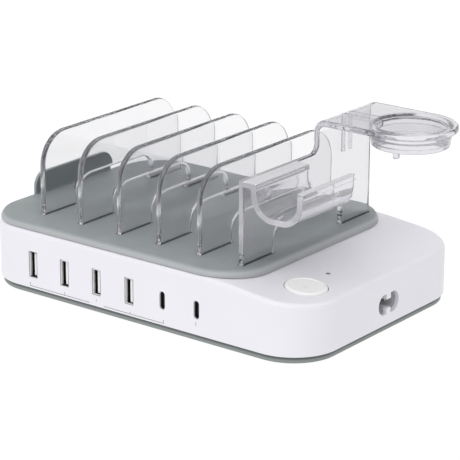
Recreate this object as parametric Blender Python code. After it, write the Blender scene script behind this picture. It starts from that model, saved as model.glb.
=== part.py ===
"""Desktop USB charging station: a low case with a row of sockets, five clear dividers and a watch stand.

Lengths are in metres and Z is up.  Places are counted from the case's left face (X), its front face (Y)
and the underside of its bottom cover (Z).  One empty carries every piece and moves that corner so that
the world origin lies under the middle of the whole object, on the surface that it stands on.
"""
import math

import bmesh
import bpy

# Case
CASE_WIDTH = 0.1955
CASE_DEPTH = 0.130
CASE_CORNER_RADIUS = 0.024
CASE_HEIGHT = 0.0321
SLOPE_LENGTH = 0.0492
SLOPE_END_HEIGHT = 0.0273
TOP_EDGE_RADIUS = 0.0021
SHELL_WALL = 0.0022
COVER_HEIGHT = 0.003
COVER_INSET = 0.0012
COVER_CHAMFER = 0.0007

# Clearance between neighbours, and the overrun of every cut
GAP = 0.0003
OVERRUN = 0.002

# Pad on the case, with its fence
PAD_LEFT_INSET = 0.0005
PAD_INSET = 0.0012
PAD_RIGHT_MARGIN = 0.0384
PAD_RISE = 0.0033
PAD_CHAMFER = 0.0015
PAD_CHAMFER_HEIGHT = 0.0022
FENCE_INSET = 0.0009
FENCE_THICKNESS = 0.0019
FENCE_LENGTH = 0.0549
FENCE_FORWARD = 0.001
FENCE_HEIGHT = 0.0113
FENCE_CORNER_RADIUS = 0.008

# Clear plates: five dividers, and the stand in the last place of the same row
DIVIDER_COUNT = 5
FIRST_PLATE_X = 0.0276
LAST_PLATE_MARGIN = 0.00925
PLATE_THICKNESS = 0.003
PLATE_FRONT = 0.0155
PLATE_REAR_MARGIN = 0.0132
PLATE_HEIGHT = 0.040
PLATE_CORNER_RADIUS = 0.016
PLATE_EDGE_BEVEL = 0.0005
PLATE_FOOT = 0.0238
ARCH_HEIGHT = 0.0134
ARCH_CORNER_RADIUS = 0.006

# Stand: tall rear part that bends over into an arm
STAND_LOW_HEIGHT = 0.0401
STAND_HEIGHT = 0.0558
STAND_TALL_LENGTH = 0.0438
STAND_STEP_RADIUS = 0.004
BEND_INNER_RADIUS = 0.003
ARM_LENGTH = 0.0616

# Ring and hanging cup in the arm
RING_RADIUS = 0.0172
CUP_TOP_RADIUS = 0.0195
CUP_BOTTOM_RADIUS = 0.0183
CUP_DEPTH = 0.0099
CUP_WALL = 0.0016
LEDGE_THICKNESS = 0.0018
LEDGE_RADIUS = 0.015
PEG_RADIUS = 0.0016
PEG_LENGTH = 0.0026
PEG_OUT = 0.0166
PEG_ANGLE = -80.0

# Cable ribs under the arm
RIB_SPACING = 0.0055
RIB_WIDTH = 0.0014
RIB_HEIGHT = 0.0018
RIB_DROP = 0.0193

# Trough on the stand's right side
TROUGH_LENGTH = 0.041
TROUGH_WALL = 0.003
TROUGH_WIDTH = 0.0224
TROUGH_CORNER_RADIUS = 0.0088
TROUGH_FROM_PLATE = 0.0071
TROUGH_FLOOR_HEIGHT = 0.0258
TROUGH_LIP_HEIGHT = 0.040

# Sockets in the front face
LARGE_SOCKET_COUNT = 4
SMALL_SOCKET_COUNT = 2
FIRST_SOCKET_X = 0.0348
LAST_SOCKET_FROM_RIGHT = 0.0607
SOCKET_HEIGHT = 0.0155
LARGE_OPENING = (0.0054, 0.0132)
SMALL_OPENING = (0.0032, 0.0089)
SOCKET_SETBACK = 0.0005
LARGE_SLEEVE_DEPTH = 0.014
SMALL_SLEEVE_DEPTH = 0.0085
SLEEVE_WALL = 0.0004
LARGE_TONGUE = 0.0015
SMALL_TONGUE = 0.0007
TONGUE_SETBACK = 0.0009
TONGUE_ROOT = 0.003

# Mains inlet in the right face
INLET_OFFSET = 0.0007
INLET_HEIGHT = 0.0136
INLET_LOBE_RADIUS = 0.005
INLET_LOBE_SPACING = 0.0064
INLET_NOTCH = 0.0033
INLET_WAIST = 0.0044
INLET_BODY = (0.020, 0.0134)
INLET_BODY_DEPTH = 0.013
INLET_FLOOR = 0.002
PIN_SPACING = 0.0086
PIN_RADIUS = 0.0012
PIN_SETBACK = 0.0022
PIN_TAIL = 0.0025

# Power button, switch and pinhole light
BUTTON_FROM_RIGHT = 0.018
BUTTON_Y = 0.0255
BUTTON_RADIUS = 0.0099
BUTTON_PROUD = 0.0010
BUTTON_RIM = 0.0022
BUTTON_DISH = 0.0006
BUTTON_EDGE = 0.0004
BUTTON_CROWN = 0.0012
BUTTON_SKIRT = 0.0012
BUTTON_FLANGE = 0.0008
BUTTON_TRAVEL = 0.0015
SWITCH_SIDE = 0.008
SWITCH_HEIGHT = 0.008
PLUNGER_RADIUS = 0.0018
PLUNGER_ENGAGEMENT = 0.004
SPRING_RADIUS = 0.0030
SPRING_WIRE = 0.0003
SPRING_TURNS = 6
SPRING_END_GAP = 0.0006
LIGHT_FROM_RIGHT = 0.0202
LIGHT_Y = 0.0457
LIGHT_RADIUS = 0.0009
LIGHT_FLANGE = 0.0009
LIGHT_FLANGE_HEIGHT = 0.001
LED_SIDE = 0.003
LED_HEIGHT = 0.0016

# Feet and case screws
FOOT_INSET_X = 0.030
FOOT_INSET_Y = 0.012
FOOT_RADIUS = 0.005
FOOT_PROUD = 0.0008
FOOT_RECESS = 0.0008
FOOT_CHAMFER = 0.0003
SCREW_INSET = 0.012
SCREW_HEAD_RADIUS = 0.0025
SCREW_HEAD_HEIGHT = 0.0012
SCREW_SHANK_RADIUS = 0.0011
SCREW_LENGTH = 0.010
COUNTERBORE = 0.0018
BOSS_RADIUS = 0.003
BOSS_BORE_DEPTH = 0.014

# Boards and the parts on them
BOARD_THICKNESS = 0.0016
POST_RADIUS = 0.002
POST_INSET = 0.004
PORT_BOARD_MARGIN = 0.0008
PORT_BOARD_DEPTH = 0.027
PORT_BOARD_OVERHANG = 0.007
POWER_BOARD_LEFT = 0.024
POWER_BOARD_RIGHT_MARGIN = 0.0075
POWER_BOARD_REAR_MARGIN = 0.022
BOARD_SPACING = 0.004
WING_REACH = 0.0055
WING_WIDTH = 0.028
BOARD_NOTCH_CLEARANCE = 0.001
LINK_LENGTH = 0.024
LINK_X = 0.060
LINK_LAP = 0.0015
LINK_HEIGHT = 0.0025
TRANSFORMER_FROM_INLET = 0.060
TRANSFORMER_FROM_REAR = 0.033
CORE_LENGTH = 0.030
CORE_DEPTH = 0.012
CORE_HEADROOM = 0.0037
CORE_LIMB = 0.005
CORE_POST = 0.008
WINDING_BUILD = 0.005
MAINS_CAPACITOR_FROM_INLET = 0.022
MAINS_CAPACITOR_OFFSET = 0.0003
MAINS_CAPACITOR_RADIUS = 0.008
MAINS_CAPACITOR_HEADROOM = 0.0067
OUTPUT_CAPACITOR_FROM_LEFT = 0.026
OUTPUT_CAPACITOR_FROM_FRONT = 0.028
OUTPUT_CAPACITOR_PITCH = 0.014
OUTPUT_CAPACITOR_RADIUS = 0.004
OUTPUT_CAPACITOR_HEADROOM = 0.0077
CAPACITOR_CHAMFER = 0.0008
CHOKE_FROM_INLET = 0.024
CHOKE_FROM_REAR = 0.014
CHOKE_RADIUS = 0.007
CHOKE_BUILD = 0.003
FUSE_FROM_RIGHT = 0.016
FUSE_FROM_REAR = 0.016
FUSE_RADIUS = 0.0026
FUSE_LENGTH = 0.016
SINK_FROM_LEFT = 0.056
SINK_FROM_REAR = 0.016
SINK_LENGTH = 0.034
SINK_HEADROOM = 0.0047
SINK_BASE = 0.002
SINK_FIN = 0.0012
SINK_FIN_REACH = 0.007
SINK_FIN_COUNT = 7

# Facets along round stretches
CORNER_STEPS = 8
FILLET_STEPS = 3
ROUND_STEPS = 24
CUP_STEPS = 36
SMALL_ROUND_STEPS = 14
BEND_STEPS = 6
TROUGH_STEPS = 8
SMOOTH_ANGLE = 35.0

# Places that follow from the sizes above
SLOPE_START = CASE_WIDTH - SLOPE_LENGTH
PAD_TOP = CASE_HEIGHT + PAD_RISE
PAD_RIGHT = CASE_WIDTH - PAD_RIGHT_MARGIN
PAD_CORNER_RADIUS = CASE_CORNER_RADIUS - PAD_INSET
PAD_UNDERSIDE = CASE_HEIGHT + GAP
PLATE_PITCH = (PAD_RIGHT - LAST_PLATE_MARGIN - FIRST_PLATE_X) / DIVIDER_COUNT
PLATE_REAR = CASE_DEPTH - PLATE_REAR_MARGIN
PLATE_MIDDLE = (PLATE_FRONT + PLATE_REAR) / 2
STAND_LEFT = FIRST_PLATE_X + DIVIDER_COUNT * PLATE_PITCH - PLATE_THICKNESS / 2
STAND_RIGHT = STAND_LEFT + PLATE_THICKNESS
ARM_END = STAND_LEFT + ARM_LENGTH
ARM_TOP = PAD_TOP + STAND_HEIGHT
ARM_UNDERSIDE = ARM_TOP - PLATE_THICKNESS
ARM_MIDDLE = PLATE_REAR - STAND_TALL_LENGTH / 2
BEND_START = ARM_UNDERSIDE - BEND_INNER_RADIUS
RING_X = ARM_END - STAND_TALL_LENGTH / 2
BOARD_TOP = SOCKET_HEIGHT - LARGE_OPENING[1] / 2
BOARD_UNDERSIDE = BOARD_TOP - BOARD_THICKNESS
SEAT = BOARD_TOP + GAP
CASE_FLOOR = COVER_HEIGHT + GAP
CEILING = CASE_HEIGHT - SHELL_WALL
OBJECT_WIDTH = max(CASE_WIDTH, ARM_END)
SOCKET_COUNT = LARGE_SOCKET_COUNT + SMALL_SOCKET_COUNT
SOCKET_PITCH = (CASE_WIDTH - LAST_SOCKET_FROM_RIGHT - FIRST_SOCKET_X) / (SOCKET_COUNT - 1)
BUTTON_X = CASE_WIDTH - BUTTON_FROM_RIGHT
LIGHT_X = CASE_WIDTH - LIGHT_FROM_RIGHT
INLET_Y = CASE_DEPTH / 2 + INLET_OFFSET
INLET_REAR = CASE_WIDTH - SHELL_WALL - GAP - INLET_BODY_DEPTH
PORT_BOARD_FRONT = SHELL_WALL + PORT_BOARD_MARGIN
PORT_BOARD_REAR = PORT_BOARD_FRONT + PORT_BOARD_DEPTH
POWER_BOARD_RIGHT = CASE_WIDTH - POWER_BOARD_RIGHT_MARGIN
POWER_BOARD_FRONT = PORT_BOARD_REAR + BOARD_SPACING
POWER_BOARD_REAR = CASE_DEPTH - POWER_BOARD_REAR_MARGIN


def top_height(x):
    """Height of the case's top above the cover's underside, flat and then sloping down to the right."""
    if x <= SLOPE_START:
        return CASE_HEIGHT
    fall = (CASE_HEIGHT - SLOPE_END_HEIGHT) / (CASE_WIDTH - SLOPE_START)
    return CASE_HEIGHT - (x - SLOPE_START) * fall


def arc(centre_u, centre_v, radius, start, end, steps):
    """Points on an arc from one angle to another, both in degrees, both ends included."""
    points = []
    for step in range(steps + 1):
        angle = math.radians(start + (end - start) * step / steps)
        points.append((centre_u + radius * math.cos(angle), centre_v + radius * math.sin(angle)))
    return points


def rounded_rectangle(low_u, low_v, high_u, high_v, radius, steps=CORNER_STEPS):
    """Outline of a rectangle with round corners, counter-clockwise."""
    outline = arc(low_u + radius, low_v + radius, radius, 180, 270, steps)
    outline += arc(high_u - radius, low_v + radius, radius, 270, 360, steps)
    outline += arc(high_u - radius, high_v - radius, radius, 0, 90, steps)
    outline += arc(low_u + radius, high_v - radius, radius, 90, 180, steps)
    return outline


def spatial(axis, u, v, along):
    """A point of an outline, placed in space for an extrusion along the named axis."""
    if axis == "X":
        return (along, u, v)
    if axis == "Y":
        return (u, along, v)
    return (u, v, along)


def loft(loops):
    """Closed solid through loops of equally many points, with a face over each end."""
    count = len(loops[0])
    vertices = [point for loop in loops for point in loop]
    faces = [tuple(range(count)), tuple(range(len(vertices) - count, len(vertices)))]
    for level in range(len(loops) - 1):
        base = level * count
        for index in range(count):
            following = (index + 1) % count
            faces.append((base + index, base + following, base + count + following, base + count + index))
    return vertices, faces


def prism(outline, axis, low, high):
    """Solid with the same outline all along an axis."""
    ends = [[spatial(axis, u, v, end) for u, v in outline] for end in (low, high)]
    return loft(ends)


def block(low, high):
    """Box between two corners."""
    outline = [(low[0], low[1]), (high[0], low[1]), (high[0], high[1]), (low[0], high[1])]
    return prism(outline, "Z", low[2], high[2])


def turned(profile, steps, x=0.0, y=0.0):
    """Solid of revolution about a vertical line, from (radius, height) points from line to line."""
    vertices = []
    rings = []
    for radius, height in profile:
        start = len(vertices)
        count = steps if radius > 0 else 1
        for step in range(count):
            angle = math.tau * step / steps
            vertices.append((x + radius * math.cos(angle), y + radius * math.sin(angle), height))
        rings.append((start, count))
    faces = []
    for (low, low_count), (high, high_count) in zip(rings, rings[1:]):
        for step in range(steps):
            following = (step + 1) % steps
            corners = [low + step % low_count, low + following % low_count,
                       high + following % high_count, high + step % high_count]
            faces.append(tuple(dict.fromkeys(corners)))
    return vertices, faces


def combined(*shapes):
    """Several separate solids as one list of vertices and faces."""
    vertices = []
    faces = []
    for shape_vertices, shape_faces in shapes:
        base = len(vertices)
        vertices += shape_vertices
        faces += [tuple(base + index for index in face) for face in shape_faces]
    return vertices, faces


def remove_old_objects():
    """Empty the scene."""
    for old in list(bpy.data.objects):
        bpy.data.objects.remove(old, do_unlink=True)


def make_carrier():
    """Empty at the case's corner, which carries every piece."""
    carrier = bpy.data.objects.new("case_corner", None)
    carrier.location = (-OBJECT_WIDTH / 2, -CASE_DEPTH / 2, FOOT_PROUD)
    bpy.context.scene.collection.objects.link(carrier)
    return carrier


def plain_material(name, colour, roughness, metallic=0.0, alpha=1.0):
    """Principled material of one colour."""
    material = bpy.data.materials.new(name)
    material.use_nodes = True
    shader = material.node_tree.nodes["Principled BSDF"]
    shader.inputs["Base Color"].default_value = (*colour, 1.0)
    shader.inputs["Roughness"].default_value = roughness
    shader.inputs["Metallic"].default_value = metallic
    shader.inputs["Alpha"].default_value = alpha
    return material


def white_plastic():
    """Satin white of the case and its button."""
    return plain_material("white_plastic", (0.87, 0.87, 0.89), 0.38)


def grey_plastic():
    """Warm grey of the bottom cover."""
    return plain_material("grey_plastic", (0.27, 0.30, 0.29), 0.5)


def pad_plastic():
    """Matt grey of the pad and its fence."""
    return plain_material("pad_plastic", (0.27, 0.29, 0.30), 0.6)


def clear_plastic():
    """Clear moulded plates."""
    return plain_material("clear_plastic", (0.95, 0.96, 0.97), 0.05, alpha=0.35)


def black_plastic():
    """Black switch and header bodies."""
    return plain_material("black_plastic", (0.02, 0.02, 0.022), 0.45)


def inlet_plastic():
    """Mid grey of the mains inlet."""
    return plain_material("inlet_plastic", (0.22, 0.22, 0.24), 0.45)


def steel():
    """Bright steel of sleeves, screws and the spring."""
    return plain_material("steel", (0.62, 0.62, 0.63), 0.28, metallic=1.0)


def brass():
    """Plated brass of the pins."""
    return plain_material("brass", (0.72, 0.66, 0.5), 0.3, metallic=1.0)


def aluminium():
    """Heat sink and capacitor cans."""
    return plain_material("aluminium", (0.7, 0.71, 0.72), 0.35, metallic=1.0)


def tongue_plastic():
    """White contact carriers in the large sockets."""
    return plain_material("tongue_plastic", (0.85, 0.85, 0.86), 0.4)


def board_laminate():
    """Green circuit board."""
    return plain_material("board_laminate", (0.03, 0.16, 0.07), 0.45)


def ferrite():
    """Dark grey ferrite."""
    return plain_material("ferrite", (0.05, 0.05, 0.055), 0.7)


def winding_tape():
    """Yellow tape round the transformer's winding."""
    return plain_material("winding_tape", (0.75, 0.55, 0.08), 0.5)


def foot_rubber():
    """Soft dark feet."""
    return plain_material("foot_rubber", (0.06, 0.06, 0.065), 0.8)


def add_piece(name, shape, material, place=(0.0, 0.0, 0.0)):
    """Object on the carrier, with outward faces and smooth round stretches."""
    mesh = bpy.data.meshes.new(name)
    mesh.from_pydata(shape[0], [], shape[1])
    editable = bmesh.new()
    editable.from_mesh(mesh)
    bmesh.ops.recalc_face_normals(editable, faces=editable.faces)
    editable.to_mesh(mesh)
    editable.free()
    mesh.shade_smooth()
    mesh.set_sharp_from_angle(angle=math.radians(SMOOTH_ANGLE))
    return add_object(name, mesh, material, place)


def add_object(name, mesh, material, place):
    """Object of a finished mesh, placed on the carrier."""
    piece = bpy.data.objects.new(name, mesh)
    bpy.context.scene.collection.objects.link(piece)
    piece.parent = CARRIER
    piece.location = place
    if material is not None and not mesh.materials:
        mesh.materials.append(material)
    return piece


def combine(target, name, shape, operation):
    """Cut a shape out of a piece, or join one to it, with a hidden helper."""
    helper = add_piece(name, shape, None)
    helper.hide_render = True
    helper.display_type = "WIRE"
    modifier = target.modifiers.new(name, "BOOLEAN")
    modifier.object = helper
    modifier.operation = operation
    modifier.solver = "EXACT"


def case_loop(inset, height):
    """Loop round the case at an inset and at a function of X's height, with points on the crease."""
    radius = CASE_CORNER_RADIUS - inset
    far_u = CASE_WIDTH - inset
    far_v = CASE_DEPTH - inset
    outline = arc(inset + radius, inset + radius, radius, 180, 270, CORNER_STEPS)
    outline.append((SLOPE_START, inset))
    outline += arc(far_u - radius, inset + radius, radius, 270, 360, CORNER_STEPS)
    outline += arc(far_u - radius, far_v - radius, radius, 0, 90, CORNER_STEPS)
    outline.append((SLOPE_START, far_v))
    outline += arc(inset + radius, far_v - radius, radius, 90, 180, CORNER_STEPS)
    return [(x, y, height(x)) for x, y in outline]


def shell_surface(loops, vertices, faces):
    """Walls through the loops and the creased top in the last one; gives the first index."""
    base = len(vertices)
    count = len(loops[0])
    for loop in loops:
        vertices += loop
    for level in range(len(loops) - 1):
        low = base + level * count
        for index in range(count):
            following = (index + 1) % count
            faces.append((low + index, low + following, low + count + following, low + count + index))
    top = base + (len(loops) - 1) * count
    front_crease = CORNER_STEPS + 1
    rear_crease = front_crease + 2 * (CORNER_STEPS + 1) + 1
    faces.append(tuple(top + index for index in range(front_crease, rear_crease + 1)))
    left = list(range(rear_crease, count)) + list(range(front_crease + 1))
    faces.append(tuple(top + index for index in left))
    return base


def shell_shape():
    """Case wall with a rounded top edge, open below."""
    vertices = []
    faces = []
    outer = [case_loop(0.0, lambda x: CASE_FLOOR)]
    for step in range(FILLET_STEPS + 1):
        angle = math.radians(90 * step / FILLET_STEPS)
        inset = TOP_EDGE_RADIUS * (1 - math.cos(angle))
        drop = TOP_EDGE_RADIUS * (1 - math.sin(angle))
        outer.append(case_loop(inset, lambda x, fall=drop: top_height(x) - fall))
    floor = case_loop(SHELL_WALL, lambda x: CASE_FLOOR)
    ceiling = case_loop(SHELL_WALL, lambda x: top_height(x) - SHELL_WALL)
    inner = [floor, ceiling]
    outer_base = shell_surface(outer, vertices, faces)
    inner_base = shell_surface(inner, vertices, faces)
    count = len(inner[0])
    for index in range(count):
        following = (index + 1) % count
        faces.append((outer_base + index, outer_base + following, inner_base + following, inner_base + index))
    return vertices, faces


def corner_places(inset_x, inset_y):
    """Four places near the case's corners."""
    return [(x, y) for x in (inset_x, CASE_WIDTH - inset_x) for y in (inset_y, CASE_DEPTH - inset_y)]


def screw_boss(x, y):
    """Post with a blind bore that hangs from the shell's top and takes a case screw."""
    bore = SCREW_SHANK_RADIUS + GAP
    top = top_height(x) - SHELL_WALL / 2
    roof = CASE_FLOOR + BOSS_BORE_DEPTH
    profile = [(0, roof), (bore, roof), (bore, CASE_FLOOR)]
    profile += [(BOSS_RADIUS, CASE_FLOOR), (BOSS_RADIUS, top), (0, top)]
    return turned(profile, SMALL_ROUND_STEPS, x, y)


def socket_x(index):
    """Middle of a socket, counted from the left."""
    return FIRST_SOCKET_X + index * SOCKET_PITCH


def socket_outline(opening, inset, x):
    """Outline of a large, square-cornered socket or a small, round-ended one, seen from the front."""
    half_width = opening[0] / 2 - inset
    half_height = opening[1] / 2 - inset
    low = (x - half_width, SOCKET_HEIGHT - half_height)
    high = (x + half_width, SOCKET_HEIGHT + half_height)
    if opening is SMALL_OPENING:
        end_centre = half_height - half_width
        outline = arc(x, SOCKET_HEIGHT + end_centre, half_width, 0, 180, CORNER_STEPS)
        return outline + arc(x, SOCKET_HEIGHT - end_centre, half_width, 180, 360, CORNER_STEPS)
    return [low, (high[0], low[1]), high, (low[0], high[1])]


def socket_cuts():
    """Six openings through the front wall."""
    cuts = []
    for index in range(SOCKET_COUNT):
        opening = LARGE_OPENING if index < LARGE_SOCKET_COUNT else SMALL_OPENING
        outline = socket_outline(opening, 0.0, socket_x(index))
        cuts.append(prism(outline, "Y", -OVERRUN, SHELL_WALL + OVERRUN))
    return combined(*cuts)


def inlet_outline():
    """Two round lobes joined by a narrow waist, seen from the right."""
    half_notch = INLET_NOTCH / 2
    half_waist = INLET_WAIST / 2
    lobe = INLET_LOBE_SPACING / 2
    reach = math.degrees(math.acos((half_notch - lobe) / INLET_LOBE_RADIUS))
    right = arc(INLET_Y + lobe, INLET_HEIGHT, INLET_LOBE_RADIUS, -reach, reach, 2 * CORNER_STEPS)
    left = arc(INLET_Y - lobe, INLET_HEIGHT, INLET_LOBE_RADIUS, 180 - reach, 180 + reach, 2 * CORNER_STEPS)
    near = INLET_Y - half_notch
    far = INLET_Y + half_notch
    upper = [(far, INLET_HEIGHT + half_waist), (near, INLET_HEIGHT + half_waist)]
    lower = [(near, INLET_HEIGHT - half_waist), (far, INLET_HEIGHT - half_waist)]
    return right + upper + left + lower


def make_shell():
    """White case with its openings."""
    shell = add_piece("housing_shell", shell_shape(), white_plastic())
    bosses = combined(*[screw_boss(x, y) for x, y in corner_places(SCREW_INSET, SCREW_INSET)])
    combine(shell, "boss_helper", bosses, "UNION")
    combine(shell, "socket_cutter", socket_cuts(), "DIFFERENCE")
    inlet_cut = prism(inlet_outline(), "X", CASE_WIDTH - SHELL_WALL - OVERRUN, CASE_WIDTH + OVERRUN)
    combine(shell, "inlet_opening_cutter", inlet_cut, "DIFFERENCE")
    hole = BUTTON_RADIUS + GAP
    pinhole = LIGHT_RADIUS + GAP
    low = SLOPE_END_HEIGHT - SHELL_WALL - OVERRUN
    high = CASE_HEIGHT + OVERRUN
    button_cut = turned([(0, low), (hole, low), (hole, high), (0, high)], CUP_STEPS, BUTTON_X, BUTTON_Y)
    profile = [(0, low), (pinhole, low), (pinhole, high), (0, high)]
    light_cut = turned(profile, SMALL_ROUND_STEPS, LIGHT_X, LIGHT_Y)
    combine(shell, "button_cutter", combined(button_cut, light_cut), "DIFFERENCE")


def cover_loop(inset, height):
    """Loop round the bottom cover."""
    edge = COVER_INSET + inset
    outline = rounded_rectangle(edge, edge, CASE_WIDTH - edge, CASE_DEPTH - edge, CASE_CORNER_RADIUS - edge)
    return [(x, y, height) for x, y in outline]


def post_places():
    """Places of the posts that carry the two boards."""
    left, right = port_board_span()
    rear = PORT_BOARD_REAR - POST_INSET
    places = [(left + POST_INSET, rear), (right - POST_INSET, rear)]
    for x in (POWER_BOARD_LEFT + POST_INSET, POWER_BOARD_RIGHT - POST_INSET):
        places.append((x, POWER_BOARD_REAR - POST_INSET))
    places.append((POWER_BOARD_LEFT + POST_INSET, POWER_BOARD_FRONT + POST_INSET))
    places.append((POWER_BOARD_RIGHT - POST_INSET, BUTTON_Y))
    return places


def make_cover():
    """Bottom cover with board posts, foot recesses and screw holes."""
    loops = [(COVER_CHAMFER, 0.0), (0.0, COVER_CHAMFER), (0.0, COVER_HEIGHT)]
    shape = loft([cover_loop(inset, height) for inset, height in loops])
    cover = add_piece("bottom_cover", shape, grey_plastic())
    low = COVER_HEIGHT / 2
    high = BOARD_UNDERSIDE - GAP
    profile = [(0, low), (POST_RADIUS, low), (POST_RADIUS, high), (0, high)]
    posts = combined(*[turned(profile, SMALL_ROUND_STEPS, x, y) for x, y in post_places()])
    combine(cover, "post_helper", posts, "UNION")
    recess = FOOT_RADIUS + GAP
    recess_profile = [(0, -OVERRUN), (recess, -OVERRUN), (recess, FOOT_RECESS), (0, FOOT_RECESS)]
    cuts = [turned(recess_profile, ROUND_STEPS, x, y) for x, y in corner_places(FOOT_INSET_X, FOOT_INSET_Y)]
    head = SCREW_HEAD_RADIUS + GAP
    shank = SCREW_SHANK_RADIUS + GAP
    top = COVER_HEIGHT + OVERRUN
    hole_profile = [(0, -OVERRUN), (head, -OVERRUN), (head, COUNTERBORE)]
    hole_profile += [(shank, COUNTERBORE), (shank, top), (0, top)]
    screws = corner_places(SCREW_INSET, SCREW_INSET)
    cuts += [turned(hole_profile, SMALL_ROUND_STEPS, x, y) for x, y in screws]
    combine(cover, "cover_cutter", combined(*cuts), "DIFFERENCE")


def make_feet_and_screws():
    """Four rubber feet and four case screws."""
    top = FOOT_RECESS - GAP
    rubber = foot_rubber()
    metal = steel()
    foot_profile = [(0, -FOOT_PROUD), (FOOT_RADIUS - FOOT_CHAMFER, -FOOT_PROUD),
                    (FOOT_RADIUS, FOOT_CHAMFER - FOOT_PROUD), (FOOT_RADIUS, top), (0, top)]
    seat = COUNTERBORE - GAP
    under = seat - SCREW_HEAD_HEIGHT
    head = [(0, under), (SCREW_HEAD_RADIUS, under), (SCREW_HEAD_RADIUS, seat)]
    tip = seat + SCREW_LENGTH
    screw_profile = head + [(SCREW_SHANK_RADIUS, seat), (SCREW_SHANK_RADIUS, tip), (0, tip)]
    for index, (x, y) in enumerate(corner_places(FOOT_INSET_X, FOOT_INSET_Y), start=1):
        add_piece(f"rubber_foot_{index}", turned(foot_profile, ROUND_STEPS), rubber, (x, y, 0.0))
    for index, (x, y) in enumerate(corner_places(SCREW_INSET, SCREW_INSET), start=1):
        add_piece(f"case_screw_{index}", turned(screw_profile, SMALL_ROUND_STEPS), metal, (x, y, 0.0))


def plate_x(index):
    """Middle of a clear plate, counted from the left."""
    return FIRST_PLATE_X + index * PLATE_PITCH


def plate_slots():
    """Two slots under each clear plate, right through the pad."""
    slots = []
    half = PLATE_THICKNESS / 2 + GAP
    feet = [(PLATE_FRONT, PLATE_FRONT + PLATE_FOOT), (PLATE_REAR - PLATE_FOOT, PLATE_REAR)]
    for index in range(DIVIDER_COUNT + 1):
        for front, rear in feet:
            low = (plate_x(index) - half, front - GAP, PAD_UNDERSIDE - OVERRUN)
            high = (plate_x(index) + half, rear + GAP, PAD_TOP + OVERRUN)
            slots.append(block(low, high))
    return combined(*slots)


def pad_loop(inset, height):
    """Loop round the pad."""
    low_u = PAD_LEFT_INSET + inset
    low_v = PAD_INSET + inset
    high_u = PAD_RIGHT - inset
    high_v = CASE_DEPTH - PAD_INSET - inset
    outline = rounded_rectangle(low_u, low_v, high_u, high_v, PAD_CORNER_RADIUS - inset)
    return [(x, y, height) for x, y in outline]


def make_pad():
    """Grey pad that follows the case's top, with a fence at its left end and slots for the plates."""
    floor = SLOPE_END_HEIGHT
    loops = [(0.0, floor), (0.0, PAD_TOP - PAD_CHAMFER_HEIGHT), (PAD_CHAMFER, PAD_TOP)]
    shape = loft([pad_loop(inset, height) for inset, height in loops])
    pad = add_piece("top_pad", shape, pad_plastic())
    fence_left = PAD_LEFT_INSET + FENCE_INSET
    front = PLATE_MIDDLE - FENCE_FORWARD - FENCE_LENGTH / 2
    rear = front + FENCE_LENGTH
    top = PAD_TOP + FENCE_HEIGHT
    root = PAD_UNDERSIDE + GAP
    radius = FENCE_CORNER_RADIUS
    outline = [(front, root), (rear, root)]
    outline += arc(rear - radius, top - radius, radius, 0, 90, CORNER_STEPS)
    outline += arc(front + radius, top - radius, radius, 90, 180, CORNER_STEPS)
    fence = prism(outline, "X", fence_left, fence_left + FENCE_THICKNESS)
    combine(pad, "fence_helper", fence, "UNION")
    below = SLOPE_END_HEIGHT - OVERRUN
    slope = [(-OVERRUN, below), (CASE_WIDTH, below), (CASE_WIDTH, SLOPE_END_HEIGHT + GAP),
             (SLOPE_START, PAD_UNDERSIDE), (-OVERRUN, PAD_UNDERSIDE)]
    combine(pad, "case_top_cutter", prism(slope, "Y", -OVERRUN, CASE_DEPTH + OVERRUN), "DIFFERENCE")
    combine(pad, "slot_cutter", plate_slots(), "DIFFERENCE")


def foot_outline():
    """Lower edge of a clear plate from front to rear: a foot, an arch and a foot."""
    arch = PAD_TOP + ARCH_HEIGHT
    radius = ARCH_CORNER_RADIUS
    front = PLATE_FRONT + PLATE_FOOT
    rear = PLATE_REAR - PLATE_FOOT
    outline = [(PLATE_FRONT, PAD_UNDERSIDE), (front, PAD_UNDERSIDE)]
    outline += arc(front + radius, arch - radius, radius, 180, 90, CORNER_STEPS)
    outline += arc(rear - radius, arch - radius, radius, 90, 0, CORNER_STEPS)
    outline += [(rear, PAD_UNDERSIDE), (PLATE_REAR, PAD_UNDERSIDE)]
    return outline


def make_dividers():
    """Five clear plates with round upper corners; each stands in its slots and lifts straight out."""
    top = PAD_TOP + PLATE_HEIGHT
    radius = PLATE_CORNER_RADIUS
    outline = foot_outline()
    outline += arc(PLATE_REAR - radius, top - radius, radius, 0, 90, CORNER_STEPS)
    outline += arc(PLATE_FRONT + radius, top - radius, radius, 90, 180, CORNER_STEPS)
    shape = prism(outline, "X", -PLATE_THICKNESS / 2, PLATE_THICKNESS / 2)
    clear = clear_plastic()
    for index in range(DIVIDER_COUNT):
        divider = add_piece(f"divider_{index + 1}", shape, clear, (plate_x(index), 0.0, 0.0))
        bevel = divider.modifiers.new("edge_bevel", "BEVEL")
        bevel.width = PLATE_EDGE_BEVEL
        bevel.segments = 1
        bevel.limit_method = "ANGLE"
        bevel.angle_limit = math.radians(SMOOTH_ANGLE)


def bent_place(x, y, run):
    """Place on the bent stand of a point of the flat one; run is its height along the middle of the bend."""
    outer = PLATE_THICKNESS + BEND_INNER_RADIUS
    radius = outer - x
    middle = BEND_INNER_RADIUS + PLATE_THICKNESS / 2
    bend_length = middle * math.pi / 2
    if run <= BEND_START:
        return (STAND_LEFT + x, y, run)
    if run >= BEND_START + bend_length:
        return (STAND_LEFT + outer + run - BEND_START - bend_length, y, BEND_START + radius)
    angle = (run - BEND_START) / middle
    return (STAND_LEFT + outer - radius * math.cos(angle), y, BEND_START + radius * math.sin(angle))


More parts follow.
